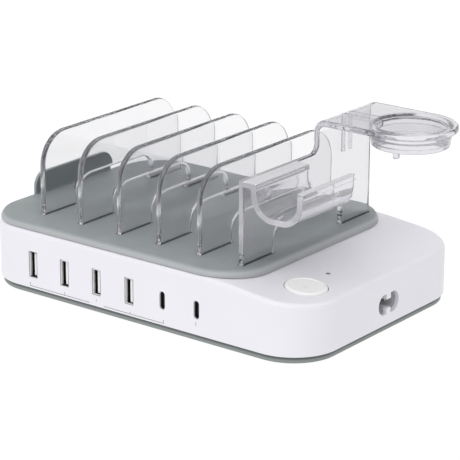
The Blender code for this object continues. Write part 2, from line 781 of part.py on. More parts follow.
def stand_outline():
    """Outline of the stand laid flat: feet and arch, tall rear part with a half-round end, low front."""
    bend_length = (BEND_INNER_RADIUS + PLATE_THICKNESS / 2) * math.pi / 2
    half = STAND_TALL_LENGTH / 2
    straight = ARM_LENGTH - PLATE_THICKNESS - BEND_INNER_RADIUS - half
    end_centre = BEND_START + bend_length + straight
    low_top = PAD_TOP + STAND_LOW_HEIGHT
    step_front = PLATE_REAR - STAND_TALL_LENGTH
    radius = STAND_STEP_RADIUS
    outline = foot_outline()
    outline += arc(ARM_MIDDLE, end_centre, half, 0, 180, 3 * CORNER_STEPS)
    outline += arc(step_front - radius, low_top + radius, radius, 360, 270, CORNER_STEPS)
    outline.append((PLATE_FRONT, low_top))
    return outline


def bent_plate():
    """The stand's plate, made flat, divided along the bend and then bent."""
    vertices, faces = prism(stand_outline(), "X", 0.0, PLATE_THICKNESS)
    sheet = bmesh.new()
    corners = [sheet.verts.new(place) for place in vertices]
    for face in faces:
        sheet.faces.new([corners[index] for index in face])
    bend_length = (BEND_INNER_RADIUS + PLATE_THICKNESS / 2) * math.pi / 2
    for step in range(BEND_STEPS + 1):
        height = BEND_START + bend_length * step / BEND_STEPS
        everything = sheet.verts[:] + sheet.edges[:] + sheet.faces[:]
        bmesh.ops.bisect_plane(sheet, geom=everything, plane_co=(0, 0, height), plane_no=(0, 0, 1))
    sheet.verts.index_update()
    places = [bent_place(*corner.co) for corner in sheet.verts]
    sides = [tuple(corner.index for corner in face.verts) for face in sheet.faces]
    sheet.free()
    return places, sides


def trough_shape():
    """Open trough that hangs from a flange on the plate's right side: a wide U with upright walls."""
    left = STAND_RIGHT + TROUGH_FROM_PLATE
    right = left + TROUGH_WIDTH
    flange_top = PAD_TOP + STAND_LOW_HEIGHT
    lip = PAD_TOP + TROUGH_LIP_HEIGHT
    root = STAND_LEFT + PLATE_THICKNESS / 2
    inner = TROUGH_CORNER_RADIUS
    outer = inner + TROUGH_WALL
    middle = PAD_TOP + TROUGH_FLOOR_HEIGHT + inner
    outline = [(root, flange_top - TROUGH_WALL), (root, flange_top), (left, flange_top)]
    outline += arc(left + inner, middle, inner, 180, 270, TROUGH_STEPS)
    outline += arc(right - inner, middle, inner, 270, 360, TROUGH_STEPS)
    outline += [(right, lip), (right + TROUGH_WALL, lip)]
    outline += arc(right - inner, middle, outer, 360, 270, TROUGH_STEPS)
    outline += arc(left + inner, middle, outer, 270, 180, TROUGH_STEPS)
    outline.append((left - TROUGH_WALL, flange_top - TROUGH_WALL))
    return prism(outline, "Y", PLATE_FRONT, PLATE_FRONT + TROUGH_LENGTH)


def cup_shape():
    """Solid plug of the hanging cup, with the small peg under its front."""
    bottom = ARM_TOP - CUP_DEPTH
    middle = ARM_TOP - PLATE_THICKNESS / 2
    profile = [(0, bottom), (CUP_BOTTOM_RADIUS, bottom), (CUP_TOP_RADIUS, ARM_UNDERSIDE)]
    profile += [(CUP_TOP_RADIUS, middle), (0, middle)]
    return turned(profile, CUP_STEPS, RING_X, ARM_MIDDLE)


def peg_shape():
    """Small peg under the front of the cup."""
    bottom = ARM_TOP - CUP_DEPTH
    low = bottom - PEG_LENGTH
    high = bottom + LEDGE_THICKNESS / 2
    profile = [(0, low), (PEG_RADIUS, low), (PEG_RADIUS, high), (0, high)]
    x = RING_X + PEG_OUT * math.cos(math.radians(PEG_ANGLE))
    y = ARM_MIDDLE + PEG_OUT * math.sin(math.radians(PEG_ANGLE))
    return turned(profile, SMALL_ROUND_STEPS, x, y)


def cup_bore():
    """Space inside the ring and cup, down to a ledge with a smaller opening."""
    bottom = ARM_TOP - CUP_DEPTH
    ledge = bottom + LEDGE_THICKNESS
    low = bottom - OVERRUN
    high = ARM_TOP + OVERRUN
    profile = [(0, low), (LEDGE_RADIUS, low), (LEDGE_RADIUS, ledge), (CUP_BOTTOM_RADIUS - CUP_WALL, ledge),
               (RING_RADIUS, ARM_TOP), (RING_RADIUS, high), (0, high)]
    return turned(profile, CUP_STEPS, RING_X, ARM_MIDDLE)


def cable_ribs():
    """Two ribs that guide a cord down the plate and along the arm's underside."""
    middle = PLATE_THICKNESS / 2
    low = ARM_TOP - RIB_DROP
    under = ARM_UNDERSIDE - RIB_HEIGHT
    end = RING_X - (RING_RADIUS + CUP_TOP_RADIUS) / 2
    ridge = STAND_RIGHT + RIB_HEIGHT
    bend_end = STAND_RIGHT + BEND_INNER_RADIUS
    outline = [(STAND_RIGHT - middle, low), (ridge, low), (ridge, under), (end, under)]
    outline += [(end, ARM_TOP - middle), (bend_end, ARM_TOP - middle), (STAND_RIGHT - middle, BEND_START)]
    ribs = []
    for side in (-1, 1):
        centre = ARM_MIDDLE + side * RIB_SPACING / 2
        ribs.append(prism(outline, "Y", centre - RIB_WIDTH / 2, centre + RIB_WIDTH / 2))
    return combined(*ribs)


def make_stand():
    """Clear stand: bent plate, trough, cup, peg and ribs as one moulding."""
    stand = add_piece("watch_stand", bent_plate(), clear_plastic())
    combine(stand, "trough_helper", trough_shape(), "UNION")
    combine(stand, "rib_helper", cable_ribs(), "UNION")
    combine(stand, "cup_helper", cup_shape(), "UNION")
    combine(stand, "peg_helper", peg_shape(), "UNION")
    combine(stand, "cup_cutter", cup_bore(), "DIFFERENCE")


def sleeve_shape(opening, depth):
    """Metal sleeve, open at the front and closed at the rear."""
    outer = socket_outline(opening, GAP, 0.0)
    inner = socket_outline(opening, GAP + SLEEVE_WALL, 0.0)
    front = SOCKET_SETBACK
    rear = SOCKET_SETBACK + depth
    loops = [[(u, rear, v) for u, v in outer], [(u, front, v) for u, v in outer],
             [(u, front, v) for u, v in inner], [(u, rear - SLEEVE_WALL, v) for u, v in inner]]
    return loft(loops)


def tongue_shape(opening, depth, thickness, offset):
    """Contact carrier: a root that fills the sleeve's rear and a thin tongue towards the mouth."""
    inset = 2 * GAP + SLEEVE_WALL
    half_width = opening[0] / 2 - inset
    half_height = opening[1] / 2 - inset - (half_width if opening is SMALL_OPENING else 0.0)
    rear = SOCKET_SETBACK + depth - SLEEVE_WALL - GAP
    root = rear - TONGUE_ROOT
    front = SOCKET_SETBACK + TONGUE_SETBACK
    low = offset - thickness / 2
    high = offset + thickness / 2
    outline = [(low, front), (high, front), (high, root), (half_width, root), (half_width, rear),
               (-half_width, rear), (-half_width, root), (low, root)]
    return prism(outline, "Z", SOCKET_HEIGHT - half_height, SOCKET_HEIGHT + half_height)


def make_sockets():
    """Four large and two small sockets, each a sleeve with its contact carrier."""
    metal = steel()
    white = tongue_plastic()
    black = black_plastic()
    large_offset = LARGE_OPENING[0] / 2 - SLEEVE_WALL - 3 * GAP - LARGE_TONGUE / 2
    for index in range(LARGE_SOCKET_COUNT):
        place = (socket_x(index), 0.0, 0.0)
        add_piece(f"usb_a_shell_{index + 1}", sleeve_shape(LARGE_OPENING, LARGE_SLEEVE_DEPTH), metal, place)
        tongue = tongue_shape(LARGE_OPENING, LARGE_SLEEVE_DEPTH, LARGE_TONGUE, large_offset)
        add_piece(f"usb_a_tongue_{index + 1}", tongue, white, place)
    for index in range(SMALL_SOCKET_COUNT):
        place = (socket_x(LARGE_SOCKET_COUNT + index), 0.0, 0.0)
        add_piece(f"usb_c_shell_{index + 1}", sleeve_shape(SMALL_OPENING, SMALL_SLEEVE_DEPTH), metal, place)
        tongue = tongue_shape(SMALL_OPENING, SMALL_SLEEVE_DEPTH, SMALL_TONGUE, 0.0)
        add_piece(f"usb_c_tongue_{index + 1}", tongue, black, place)


def lying_rod(radius, axis, low, high, u, v):
    """Rod along X or Y round a point of the plane across it."""
    outline = arc(u, v, radius, 0, 360 - 360 / SMALL_ROUND_STEPS, SMALL_ROUND_STEPS - 1)
    return prism(outline, axis, low, high)


def make_inlet():
    """Two-pole mains inlet behind the right wall, with its two pins."""
    rear = INLET_REAR
    front = rear + INLET_BODY_DEPTH
    half_width = INLET_BODY[0] / 2
    half_height = INLET_BODY[1] / 2
    body = block((rear, INLET_Y - half_width, INLET_HEIGHT - half_height),
                 (front, INLET_Y + half_width, INLET_HEIGHT + half_height))
    inlet = add_piece("ac_inlet", body, inlet_plastic())
    recess = prism(inlet_outline(), "X", rear + INLET_FLOOR, front + OVERRUN)
    combine(inlet, "recess_cutter", recess, "DIFFERENCE")
    places = [INLET_Y - PIN_SPACING / 2, INLET_Y + PIN_SPACING / 2]
    floor = rear + INLET_FLOOR + OVERRUN
    holes = [lying_rod(PIN_RADIUS + GAP, "X", rear - OVERRUN, floor, y, INLET_HEIGHT) for y in places]
    combine(inlet, "pin_hole_cutter", combined(*holes), "DIFFERENCE")
    metal = brass()
    for index, y in enumerate(places, start=1):
        pin = lying_rod(PIN_RADIUS, "X", rear - PIN_TAIL, front - PIN_SETBACK, 0.0, 0.0)
        add_piece(f"ac_pin_{index}", pin, metal, (0.0, y, INLET_HEIGHT))


def button_shape():
    """Round cap with a dished top, a skirt and a retaining flange; its faces follow the sloping case top."""
    flange_top = -SHELL_WALL - GAP
    bottom = flange_top - BUTTON_SKIRT
    rim = BUTTON_RADIUS - BUTTON_RIM
    inner = BUTTON_RADIUS - BUTTON_SKIRT
    flange = BUTTON_RADIUS + BUTTON_FLANGE
    profile = [(0, BUTTON_PROUD - BUTTON_DISH), (rim, BUTTON_PROUD - BUTTON_DISH / 2),
               (BUTTON_RADIUS - 2 * BUTTON_EDGE, BUTTON_PROUD), (BUTTON_RADIUS, BUTTON_PROUD - BUTTON_EDGE),
               (BUTTON_RADIUS, flange_top), (flange, flange_top), (flange, bottom), (inner, bottom),
               (inner, -BUTTON_CROWN), (0, -BUTTON_CROWN)]
    vertices, faces = turned(profile, CUP_STEPS)
    level = top_height(BUTTON_X)
    sloped = [(x, y, z + top_height(BUTTON_X + x) - level) for x, y, z in vertices]
    return sloped, faces


def spring_curve():
    """Coil spring from the switch's top to just under the cap, as a bevelled curve."""
    low = SEAT + SWITCH_HEIGHT + GAP + SPRING_WIRE
    high = top_height(BUTTON_X) - BUTTON_CROWN - SPRING_END_GAP - SPRING_WIRE
    curve = bpy.data.curves.new("spring_path", "CURVE")
    curve.dimensions = "3D"
    curve.bevel_depth = SPRING_WIRE
    curve.bevel_resolution = 1
    curve.use_fill_caps = True
    count = SPRING_TURNS * SMALL_ROUND_STEPS + 1
    path = curve.splines.new("POLY")
    path.points.add(count - 1)
    for index, point in enumerate(path.points):
        share = index / (count - 1)
        angle = math.tau * SPRING_TURNS * share
        x = SPRING_RADIUS * math.cos(angle)
        y = SPRING_RADIUS * math.sin(angle)
        point.co = (x, y, low + (high - low) * share, 1.0)
    return curve


def make_button():
    """Power button with its switch, plunger and spring, all round one upright axis."""
    axis = (BUTTON_X, BUTTON_Y, 0.0)
    surface = top_height(BUTTON_X)
    add_piece("power_button", button_shape(), white_plastic(), (BUTTON_X, BUTTON_Y, surface))
    half = SWITCH_SIDE / 2
    top = SEAT + SWITCH_HEIGHT
    body = block((BUTTON_X - half, BUTTON_Y - half, SEAT), (BUTTON_X + half, BUTTON_Y + half, top))
    switch = add_piece("power_switch", body, black_plastic())
    plunger_low = top - PLUNGER_ENGAGEMENT
    floor = plunger_low - BUTTON_TRAVEL - 2 * GAP
    bore = PLUNGER_RADIUS + GAP
    bore_profile = [(0, floor), (bore, floor), (bore, top + OVERRUN), (0, top + OVERRUN)]
    bore = turned(bore_profile, SMALL_ROUND_STEPS, BUTTON_X, BUTTON_Y)
    combine(switch, "plunger_cutter", bore, "DIFFERENCE")
    plunger_top = surface - BUTTON_CROWN - SPRING_END_GAP
    side = [(PLUNGER_RADIUS, plunger_low), (PLUNGER_RADIUS, plunger_top)]
    profile = [(0, plunger_low)] + side + [(0, plunger_top)]
    add_piece("switch_plunger", turned(profile, SMALL_ROUND_STEPS), tongue_plastic(), axis)
    add_object("button_spring", spring_curve(), steel(), axis)


def make_light():
    """Light pipe in the pinhole, over its small lamp on the board."""
    surface = top_height(LIGHT_X)
    flange_top = surface - SHELL_WALL - 2 * GAP
    flange_low = flange_top - LIGHT_FLANGE_HEIGHT
    low = SEAT + LED_HEIGHT + GAP
    top = surface - GAP
    flange = LIGHT_RADIUS + LIGHT_FLANGE
    rim = [(LIGHT_RADIUS, flange_low), (flange, flange_low), (flange, flange_top), (LIGHT_RADIUS, flange_top)]
    profile = [(0, low), (LIGHT_RADIUS, low)] + rim + [(LIGHT_RADIUS, top), (0, top)]
    add_piece("led_light_pipe", turned(profile, SMALL_ROUND_STEPS), clear_plastic(), (LIGHT_X, LIGHT_Y, 0.0))
    half = LED_SIDE / 2
    lamp = block((-half, -half, SEAT), (half, half, SEAT + LED_HEIGHT))
    add_piece("status_led", lamp, tongue_plastic(), (LIGHT_X, LIGHT_Y, 0.0))


def port_board_span():
    """Left and right ends of the board under the sockets."""
    return socket_x(0) - PORT_BOARD_OVERHANG, socket_x(SOCKET_COUNT - 1) + PORT_BOARD_OVERHANG


def make_boards():
    """Board under the sockets, board for the mains side, and the header that links them."""
    laminate = board_laminate()
    left, right = port_board_span()
    low = (left, PORT_BOARD_FRONT, BOARD_UNDERSIDE)
    high = (right, PORT_BOARD_REAR, BOARD_TOP)
    add_piece("port_board", block(low, high), laminate)
    wing_left = POWER_BOARD_RIGHT - WING_WIDTH
    wing_front = BUTTON_Y - WING_REACH
    notch_left = INLET_REAR - BOARD_NOTCH_CLEARANCE - PIN_TAIL
    notch_half = INLET_BODY[0] / 2 + BOARD_NOTCH_CLEARANCE
    outline = [(POWER_BOARD_LEFT, POWER_BOARD_FRONT), (wing_left, POWER_BOARD_FRONT), (wing_left, wing_front),
               (POWER_BOARD_RIGHT, wing_front), (POWER_BOARD_RIGHT, INLET_Y - notch_half),
               (notch_left, INLET_Y - notch_half), (notch_left, INLET_Y + notch_half),
               (POWER_BOARD_RIGHT, INLET_Y + notch_half), (POWER_BOARD_RIGHT, POWER_BOARD_REAR),
               (POWER_BOARD_LEFT, POWER_BOARD_REAR)]
    add_piece("power_board", prism(outline, "Z", BOARD_UNDERSIDE, BOARD_TOP), laminate)
    low = (LINK_X, PORT_BOARD_REAR - LINK_LAP, SEAT)
    high = (LINK_X + LINK_LENGTH, POWER_BOARD_FRONT + LINK_LAP, SEAT + LINK_HEIGHT)
    add_piece("board_link", block(low, high), black_plastic())


def make_transformer():
    """Ferrite frame with a centre post, and the winding round that post."""
    middle = INLET_REAR - TRANSFORMER_FROM_INLET
    left = middle - CORE_LENGTH / 2
    right = middle + CORE_LENGTH / 2
    front = POWER_BOARD_REAR - TRANSFORMER_FROM_REAR - CORE_DEPTH / 2
    rear = front + CORE_DEPTH
    top = CEILING - CORE_HEADROOM
    body = block((left, front, SEAT), (right, rear, top))
    core = add_piece("transformer_core", body, ferrite())
    post_left = middle - CORE_POST / 2
    post_right = middle + CORE_POST / 2
    low = SEAT + CORE_LIMB
    high = top - CORE_LIMB
    windows = [block((left + CORE_LIMB, front - OVERRUN, low), (post_left, rear + OVERRUN, high)),
               block((post_right, front - OVERRUN, low), (right - CORE_LIMB, rear + OVERRUN, high))]
    combine(core, "window_cutter", combined(*windows), "DIFFERENCE")
    coil = block((post_left - WINDING_BUILD, front - WINDING_BUILD, low + GAP),
                 (post_right + WINDING_BUILD, rear + WINDING_BUILD, high - GAP))
    winding = add_piece("transformer_winding", coil, winding_tape())
    bore_low = (post_left - GAP, front - GAP, low - OVERRUN)
    bore = block(bore_low, (post_right + GAP, rear + GAP, high + OVERRUN))
    combine(winding, "winding_bore_cutter", bore, "DIFFERENCE")


def capacitor_profile(radius, headroom):
    """Profile of an upright can with a small chamfer at its top, the headroom below the ceiling."""
    top = CEILING - headroom
    crown = [(radius, top - CAPACITOR_CHAMFER), (radius - CAPACITOR_CHAMFER, top), (0, top)]
    return [(0, SEAT), (radius, SEAT)] + crown


def make_capacitors():
    """One large can on the mains side and two small ones on the output side."""
    cans = aluminium()
    profile = capacitor_profile(MAINS_CAPACITOR_RADIUS, MAINS_CAPACITOR_HEADROOM)
    place = (INLET_REAR - MAINS_CAPACITOR_FROM_INLET, INLET_Y + MAINS_CAPACITOR_OFFSET, 0.0)
    add_piece("mains_capacitor", turned(profile, ROUND_STEPS), black_plastic(), place)
    profile = capacitor_profile(OUTPUT_CAPACITOR_RADIUS, OUTPUT_CAPACITOR_HEADROOM)
    x = POWER_BOARD_LEFT + OUTPUT_CAPACITOR_FROM_LEFT
    for index in range(2):
        place = (x, POWER_BOARD_FRONT + OUTPUT_CAPACITOR_FROM_FRONT + index * OUTPUT_CAPACITOR_PITCH, 0.0)
        add_piece(f"output_capacitor_{index + 1}", turned(profile, SMALL_ROUND_STEPS), cans, place)


def make_choke_and_fuse():
    """Ring choke lying on the board, and the fuse beside it."""
    vertices = []
    faces = []
    for step in range(ROUND_STEPS):
        turn = math.tau * step / ROUND_STEPS
        for radius, height in arc(CHOKE_RADIUS, SEAT + CHOKE_BUILD, CHOKE_BUILD, 0, 360 - 360 / CORNER_STEPS,
                                  CORNER_STEPS - 1):
            vertices.append((radius * math.cos(turn), radius * math.sin(turn), height))
    for step in range(ROUND_STEPS):
        for side in range(CORNER_STEPS):
            here = step * CORNER_STEPS
            there = (step + 1) % ROUND_STEPS * CORNER_STEPS
            following = (side + 1) % CORNER_STEPS
            faces.append((here + side, there + side, there + following, here + following))
    place = (INLET_REAR - CHOKE_FROM_INLET, POWER_BOARD_REAR - CHOKE_FROM_REAR, 0.0)
    add_piece("mains_choke", (vertices, faces), ferrite(), place)
    half = FUSE_LENGTH / 2
    fuse = lying_rod(FUSE_RADIUS, "Y", -half, half, 0.0, 0.0)
    place = (POWER_BOARD_RIGHT - FUSE_FROM_RIGHT, POWER_BOARD_REAR - FUSE_FROM_REAR, SEAT + FUSE_RADIUS)
    add_piece("fuse", fuse, tongue_plastic(), place)


def make_heat_sink():
    """Upright comb of aluminium."""
    left = POWER_BOARD_LEFT + SINK_FROM_LEFT - SINK_LENGTH / 2
    front = POWER_BOARD_REAR - SINK_FROM_REAR
    pitch = (SINK_LENGTH - SINK_FIN) / (SINK_FIN_COUNT - 1)
    outline = [(left, front), (left + SINK_LENGTH, front)]
    for index in reversed(range(SINK_FIN_COUNT)):
        start = left + index * pitch
        end = start + SINK_FIN
        root = front + SINK_BASE
        tip = root + SINK_FIN_REACH
        if index == SINK_FIN_COUNT - 1:
            outline += [(end, tip), (start, tip), (start, root)]
        elif index == 0:
            outline += [(end, root), (end, tip), (start, tip)]
        else:
            outline += [(end, root), (end, tip), (start, tip), (start, root)]
    add_piece("heat_sink", prism(outline, "Z", SEAT, CEILING - SINK_HEADROOM), aluminium())


remove_old_objects()
CARRIER = make_carrier()
make_shell()
make_cover()
make_feet_and_screws()
make_pad()
make_dividers()
make_stand()
make_sockets()
make_inlet()
make_button()
make_light()
make_boards()
make_transformer()
make_capacitors()
make_choke_and_fuse()
make_heat_sink()
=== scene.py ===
# %% [markdown]
# # A desktop charging station with clear dividers
#
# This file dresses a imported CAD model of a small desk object: a white case with a row of sockets, a
# grey pad on its top, five clear plates that keep devices apart, and a clear stand that bends over
# into an arm with a ring.  The CAD model stays the frame.  Each step below makes one piece or one
# finish finer than the CAD solid, in the same place and at the same size.
#
# Lengths are in metres.  Places are counted, as a maker would, from the case's left face (X), its
# front face (Y) and the underside of its bottom cover (Z), and one vector moves them to the frame's
# origin.

import math

import bmesh
import bpy
from mathutils import Matrix, Vector


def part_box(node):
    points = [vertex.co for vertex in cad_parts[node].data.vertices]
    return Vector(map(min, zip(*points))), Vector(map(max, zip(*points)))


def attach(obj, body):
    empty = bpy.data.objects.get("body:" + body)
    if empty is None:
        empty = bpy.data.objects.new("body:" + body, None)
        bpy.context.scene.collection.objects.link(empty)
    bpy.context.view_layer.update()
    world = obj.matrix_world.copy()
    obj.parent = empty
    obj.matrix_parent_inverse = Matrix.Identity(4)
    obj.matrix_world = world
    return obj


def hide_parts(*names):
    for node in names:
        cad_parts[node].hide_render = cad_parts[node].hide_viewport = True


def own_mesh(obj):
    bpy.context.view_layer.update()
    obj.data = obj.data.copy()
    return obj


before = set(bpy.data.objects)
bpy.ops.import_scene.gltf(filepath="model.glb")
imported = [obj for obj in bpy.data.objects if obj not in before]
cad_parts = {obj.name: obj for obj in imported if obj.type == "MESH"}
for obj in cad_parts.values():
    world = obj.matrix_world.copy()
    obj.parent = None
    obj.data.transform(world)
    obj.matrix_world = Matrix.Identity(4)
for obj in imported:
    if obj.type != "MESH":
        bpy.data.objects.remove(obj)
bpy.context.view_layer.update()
shell_low, shell_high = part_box("housing_shell")
cover_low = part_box("bottom_cover")[0]
CASE_CORNER = Vector((shell_low.x, shell_low.y, cover_low.z))
CASE_WIDTH = shell_high.x - shell_low.x
CASE_DEPTH = shell_high.y - shell_low.y
CASE_HEIGHT = shell_high.z - cover_low.z
print("case", [round(1000 * size, 2) for size in (CASE_WIDTH, CASE_DEPTH, CASE_HEIGHT)], "mm")

# %% [markdown]
# ## Camera
#
# The camera stands to the right of the front at a low angle, a metre away behind a long lens, so
# that upright edges stay almost parallel.  Its place and its turn were solved from the straight
# edges of the case, so here they are only written down as a place and three directions.

# %% Camera
CAMERA_PLACE = Vector((0.611785, -0.79280, 0.36646))
CAMERA_RIGHT = Vector((0.79105, 0.61175, 0.00263))
CAMERA_UP = Vector((-0.19625, 0.24970, 0.94823))
CAMERA_BACK = Vector((0.57942, -0.75061, 0.31758))
CAMERA_LENS = 171.85
SENSOR_WIDTH = 36.0


def new_object(name, data):
    """New object in the scene for a mesh, a light or a camera."""
    thing = bpy.data.objects.new(name, data)
    bpy.context.scene.collection.objects.link(thing)
    return thing


def make_camera():
    """Long-lens camera at the angle of the photograph."""
    camera = new_object("camera", bpy.data.cameras.new("camera"))
    camera.data.lens = CAMERA_LENS
    camera.data.sensor_width = SENSOR_WIDTH
    turn = Matrix((CAMERA_RIGHT, CAMERA_UP, CAMERA_BACK)).transposed().to_4x4()
    camera.matrix_world = Matrix.Translation(CAMERA_PLACE) @ turn
    bpy.context.scene.camera = camera


make_camera()
print("camera", round(CAMERA_PLACE.length, 3), "m from the origin")

# %% [markdown]
# ## Nodes in few words
#
# Finishes, light and repeated pieces are all node trees.  A node is easiest to read as its kind and
# what goes into each of its inputs, so one helper makes a node from just that.  Three more make the
# steps that nearly every tree here needs: a value taken from one range to another, a colour that
# follows a value, and two colours mixed by a share.

# %% Nodes from a short description
MIX_COLOURS = (6, 7)
MIX_RESULT = 2


def linked(tree, kind, inputs, operation=None, data_type=None):
    """New node of a kind, with each input set to a value or fed from another node's output."""
    node = tree.nodes.new(kind)
    if operation:
        node.operation = operation
    if data_type:
        node.data_type = data_type
    for label, value in inputs.items():
        if isinstance(value, bpy.types.NodeSocket):
            tree.links.new(value, node.inputs[label])
        else:
            node.inputs[label].default_value = value
    return node


def mapped(tree, value, source, result=(0.0, 1.0)):
    """A value taken from one range to another and held at its ends."""
    ends = {"From Min": source[0], "From Max": source[1], "To Min": result[0], "To Max": result[1]}
    return linked(tree, "ShaderNodeMapRange", {"Value": value, **ends}).outputs["Result"]


def ramped(tree, value, stops):
    """Colour that follows a value along a list of places and colours."""
    ramp = linked(tree, "ShaderNodeValToRGB", {"Fac": value})
    marks = ramp.color_ramp.elements
    while len(marks) < len(stops):
        marks.new(1.0)
    for mark, (place, colour) in zip(marks, stops):
        mark.position = place
        mark.color = (*colour, 1.0)
    return ramp.outputs["Color"]


def blended(tree, share, first, second):
    """Two colours mixed by a share; each is a plain colour or a node's output."""
    inputs = {"Factor": share, MIX_COLOURS[0]: first, MIX_COLOURS[1]: second}
    return linked(tree, "ShaderNodeMix", inputs, data_type="RGBA").outputs[MIX_RESULT]


def new_material(name, inputs):
    """Material with the standard shader and some of its inputs set; gives both."""
    material = bpy.data.materials.new(name)
    material.use_nodes = True
    shader = material.node_tree.nodes["Principled BSDF"]
    for label, value in inputs.items():
        shader.inputs[label].default_value = value
    return material, shader


print("helpers for nodes and materials ready")

# %% [markdown]
# ## Light and floor
#
# The object was shot in a white light tent, which leaves the background pure white and no dark
# shadow.  The world is such a tent: bright overhead, pale again at the horizon, and darker in a
# band between, where the tent's sides are.  Glossy faces seen at a low angle mirror that band,
# which is what gives the clear plates their grey edges.  Behind the object hangs a backdrop, where
# the band is less dark.  One wide sun, high in front of the case, stands for the main softbox.  The
# floor gives off light itself, as the lit floor of such a tent does; that keeps it white behind the
# clear plates, where any loss in the plastic then shows as a pale grey.
#
# Clear plates bounce light to and fro inside their edges many times, so the render is allowed many
# more glossy and transparent bounces than usual.  With the usual few, such edges go black.

# %% Floor
FLOOR_RADIUS = 9.0
FLOOR_STEPS = 96
FLOOR_FINISH = {
    "Base Color": (0.05, 0.05, 0.05, 1.0),
    "Roughness": 0.9,
    "Emission Color": (1.0, 1.0, 1.0, 1.0),
    "Emission Strength": 0.96,
}


def make_floor():
    """Round white floor that glows evenly."""
    editable = bmesh.new()
    bmesh.ops.create_circle(editable, cap_ends=True, segments=FLOOR_STEPS, radius=FLOOR_RADIUS)
    mesh = bpy.data.meshes.new("floor")
    editable.to_mesh(mesh)
    editable.free()
    mesh.materials.append(new_material("tent_floor", FLOOR_FINISH)[0])
    new_object("floor", mesh)


make_floor()
print("floor", 2 * FLOOR_RADIUS, "m wide")

# %% Tent
SIDE_LIGHT = ((0.0, 0.95), (0.12, 0.95), (0.18, 0.38), (0.60, 0.38), (0.70, 1.20), (1.0, 1.25))
BACKDROP_LIGHT = ((0.0, 0.93), (0.12, 0.93), (0.18, 0.56), (0.60, 0.56), (0.70, 1.20), (1.0, 1.25))
BACKDROP_TOWARD = Vector((-0.45, 0.89, 0.0))
BACKDROP_EDGE = (0.35, 0.60)


def light_by_height(tree, height, lights):
    """White light that follows a list of heights above the horizon."""
    return ramped(tree, height, [(place, (light, light, light)) for place, light in lights])


def make_world():
    """Tent: sides with a darker band, and a lighter backdrop behind the object."""
    world = bpy.data.worlds.new("tent")
    world.use_nodes = True
    tree = world.node_tree
    place = tree.nodes.new("ShaderNodeTexCoord").outputs["Generated"]
    height = linked(tree, "ShaderNodeSeparateXYZ", {0: place}).outputs["Z"]
    toward = linked(tree, "ShaderNodeVectorMath", {0: place, 1: BACKDROP_TOWARD}, "DOT_PRODUCT")
    share = mapped(tree, toward.outputs["Value"], BACKDROP_EDGE)
    sides = light_by_height(tree, height, SIDE_LIGHT)
    light = blended(tree, share, sides, light_by_height(tree, height, BACKDROP_LIGHT))
    tree.links.new(light, tree.nodes["Background"].inputs["Color"])
    bpy.context.scene.world = world


make_world()
print("tent with", len(SIDE_LIGHT), "stops of light from the horizon to overhead")

# %% Sun and bounces
SUN_FROM = Vector((0.06, -0.76, 0.65))
SUN_STRENGTH = 0.85
SUN_WIDTH = math.radians(60)
BOUNCES = 48
DIFFUSE_BOUNCES = 4
BRIGHTEST_BOUNCE = 6.0


def make_sun():
    """Wide soft light, high in front of the case."""
    light = bpy.data.lights.new("softbox", "SUN")
    light.energy = SUN_STRENGTH
    light.angle = SUN_WIDTH
    sun = new_object("softbox", light)
    sun.rotation_mode = "QUATERNION"
    sun.rotation_quaternion = SUN_FROM.to_track_quat("Z", "Y")


def allow_bounces():
    """Let light pass through all the plates and along edges, and show plain screen colours."""
    settings = bpy.context.scene.cycles
    settings.max_bounces = BOUNCES
    settings.glossy_bounces = BOUNCES
    settings.transmission_bounces = BOUNCES
    settings.diffuse_bounces = DIFFUSE_BOUNCES
    settings.sample_clamp_indirect = BRIGHTEST_BOUNCE
    bpy.context.scene.view_settings.view_transform = "Standard"


make_sun()
allow_bounces()
print("sun", round(math.degrees(SUN_WIDTH)), "degrees wide,", BOUNCES, "bounces")

# %% [markdown]
# ## Finishes
#
# Moulded plastic is never one flat colour.  It has a fine spark-eroded grain, a slight mottle where
# it flowed, and a gloss that changes a little from place to place.  One recipe serves all the
# opaque finishes here: a slow noise shifts the colour by a small share, a finer noise shifts the
# roughness, and the finest one drives a bump whose height is a real length.  All of them read
# Object coordinates, so the pattern stays on the piece when it moves.

# %% Recipe of an opaque finish
NOISE_RANGE = (0.3, 0.7)
NOISE_DETAIL = 2.0
GRAIN_DETAIL = 3.0
MOTTLE_SCALE = 45.0
GLOSS_SCALE = 160.0
UNEVEN_GLOSS = 0.1
MASK_EDGE = 0.0004


def noise(tree, scale, detail=NOISE_DETAIL):
    """Noise on Object coordinates; gives its value output."""
    place = tree.nodes.new("ShaderNodeTexCoord").outputs["Object"]
    inputs = {"Vector": place, "Scale": scale, "Detail": detail}
    return linked(tree, "ShaderNodeTexNoise", inputs).outputs["Fac"]


def own_place(tree):
    """Outputs X, Y and Z of the Object coordinates."""
    place = tree.nodes.new("ShaderNodeTexCoord").outputs["Object"]
    return linked(tree, "ShaderNodeSeparateXYZ", {0: place}).outputs


def beyond(tree, value, limit):
    """One where a value lies beyond a limit, with a short soft step."""
    return mapped(tree, value, (limit - MASK_EDGE, limit + MASK_EDGE))


def mottled(tree, value, colour, share):
    """Colour that a noise makes darker and lighter by a share."""
    darker = [part * (1 - share) for part in colour]
    lighter = [min(1.0, part * (1 + share)) for part in colour]
    return ramped(tree, value, list(zip(NOISE_RANGE, (darker, lighter))))


def bumped(tree, shader, value, height):
    """Bump of a real height that follows a noise."""
    bump = linked(tree, "ShaderNodeBump", {"Height": value, "Distance": height})
    tree.links.new(bump.outputs["Normal"], shader.inputs["Normal"])


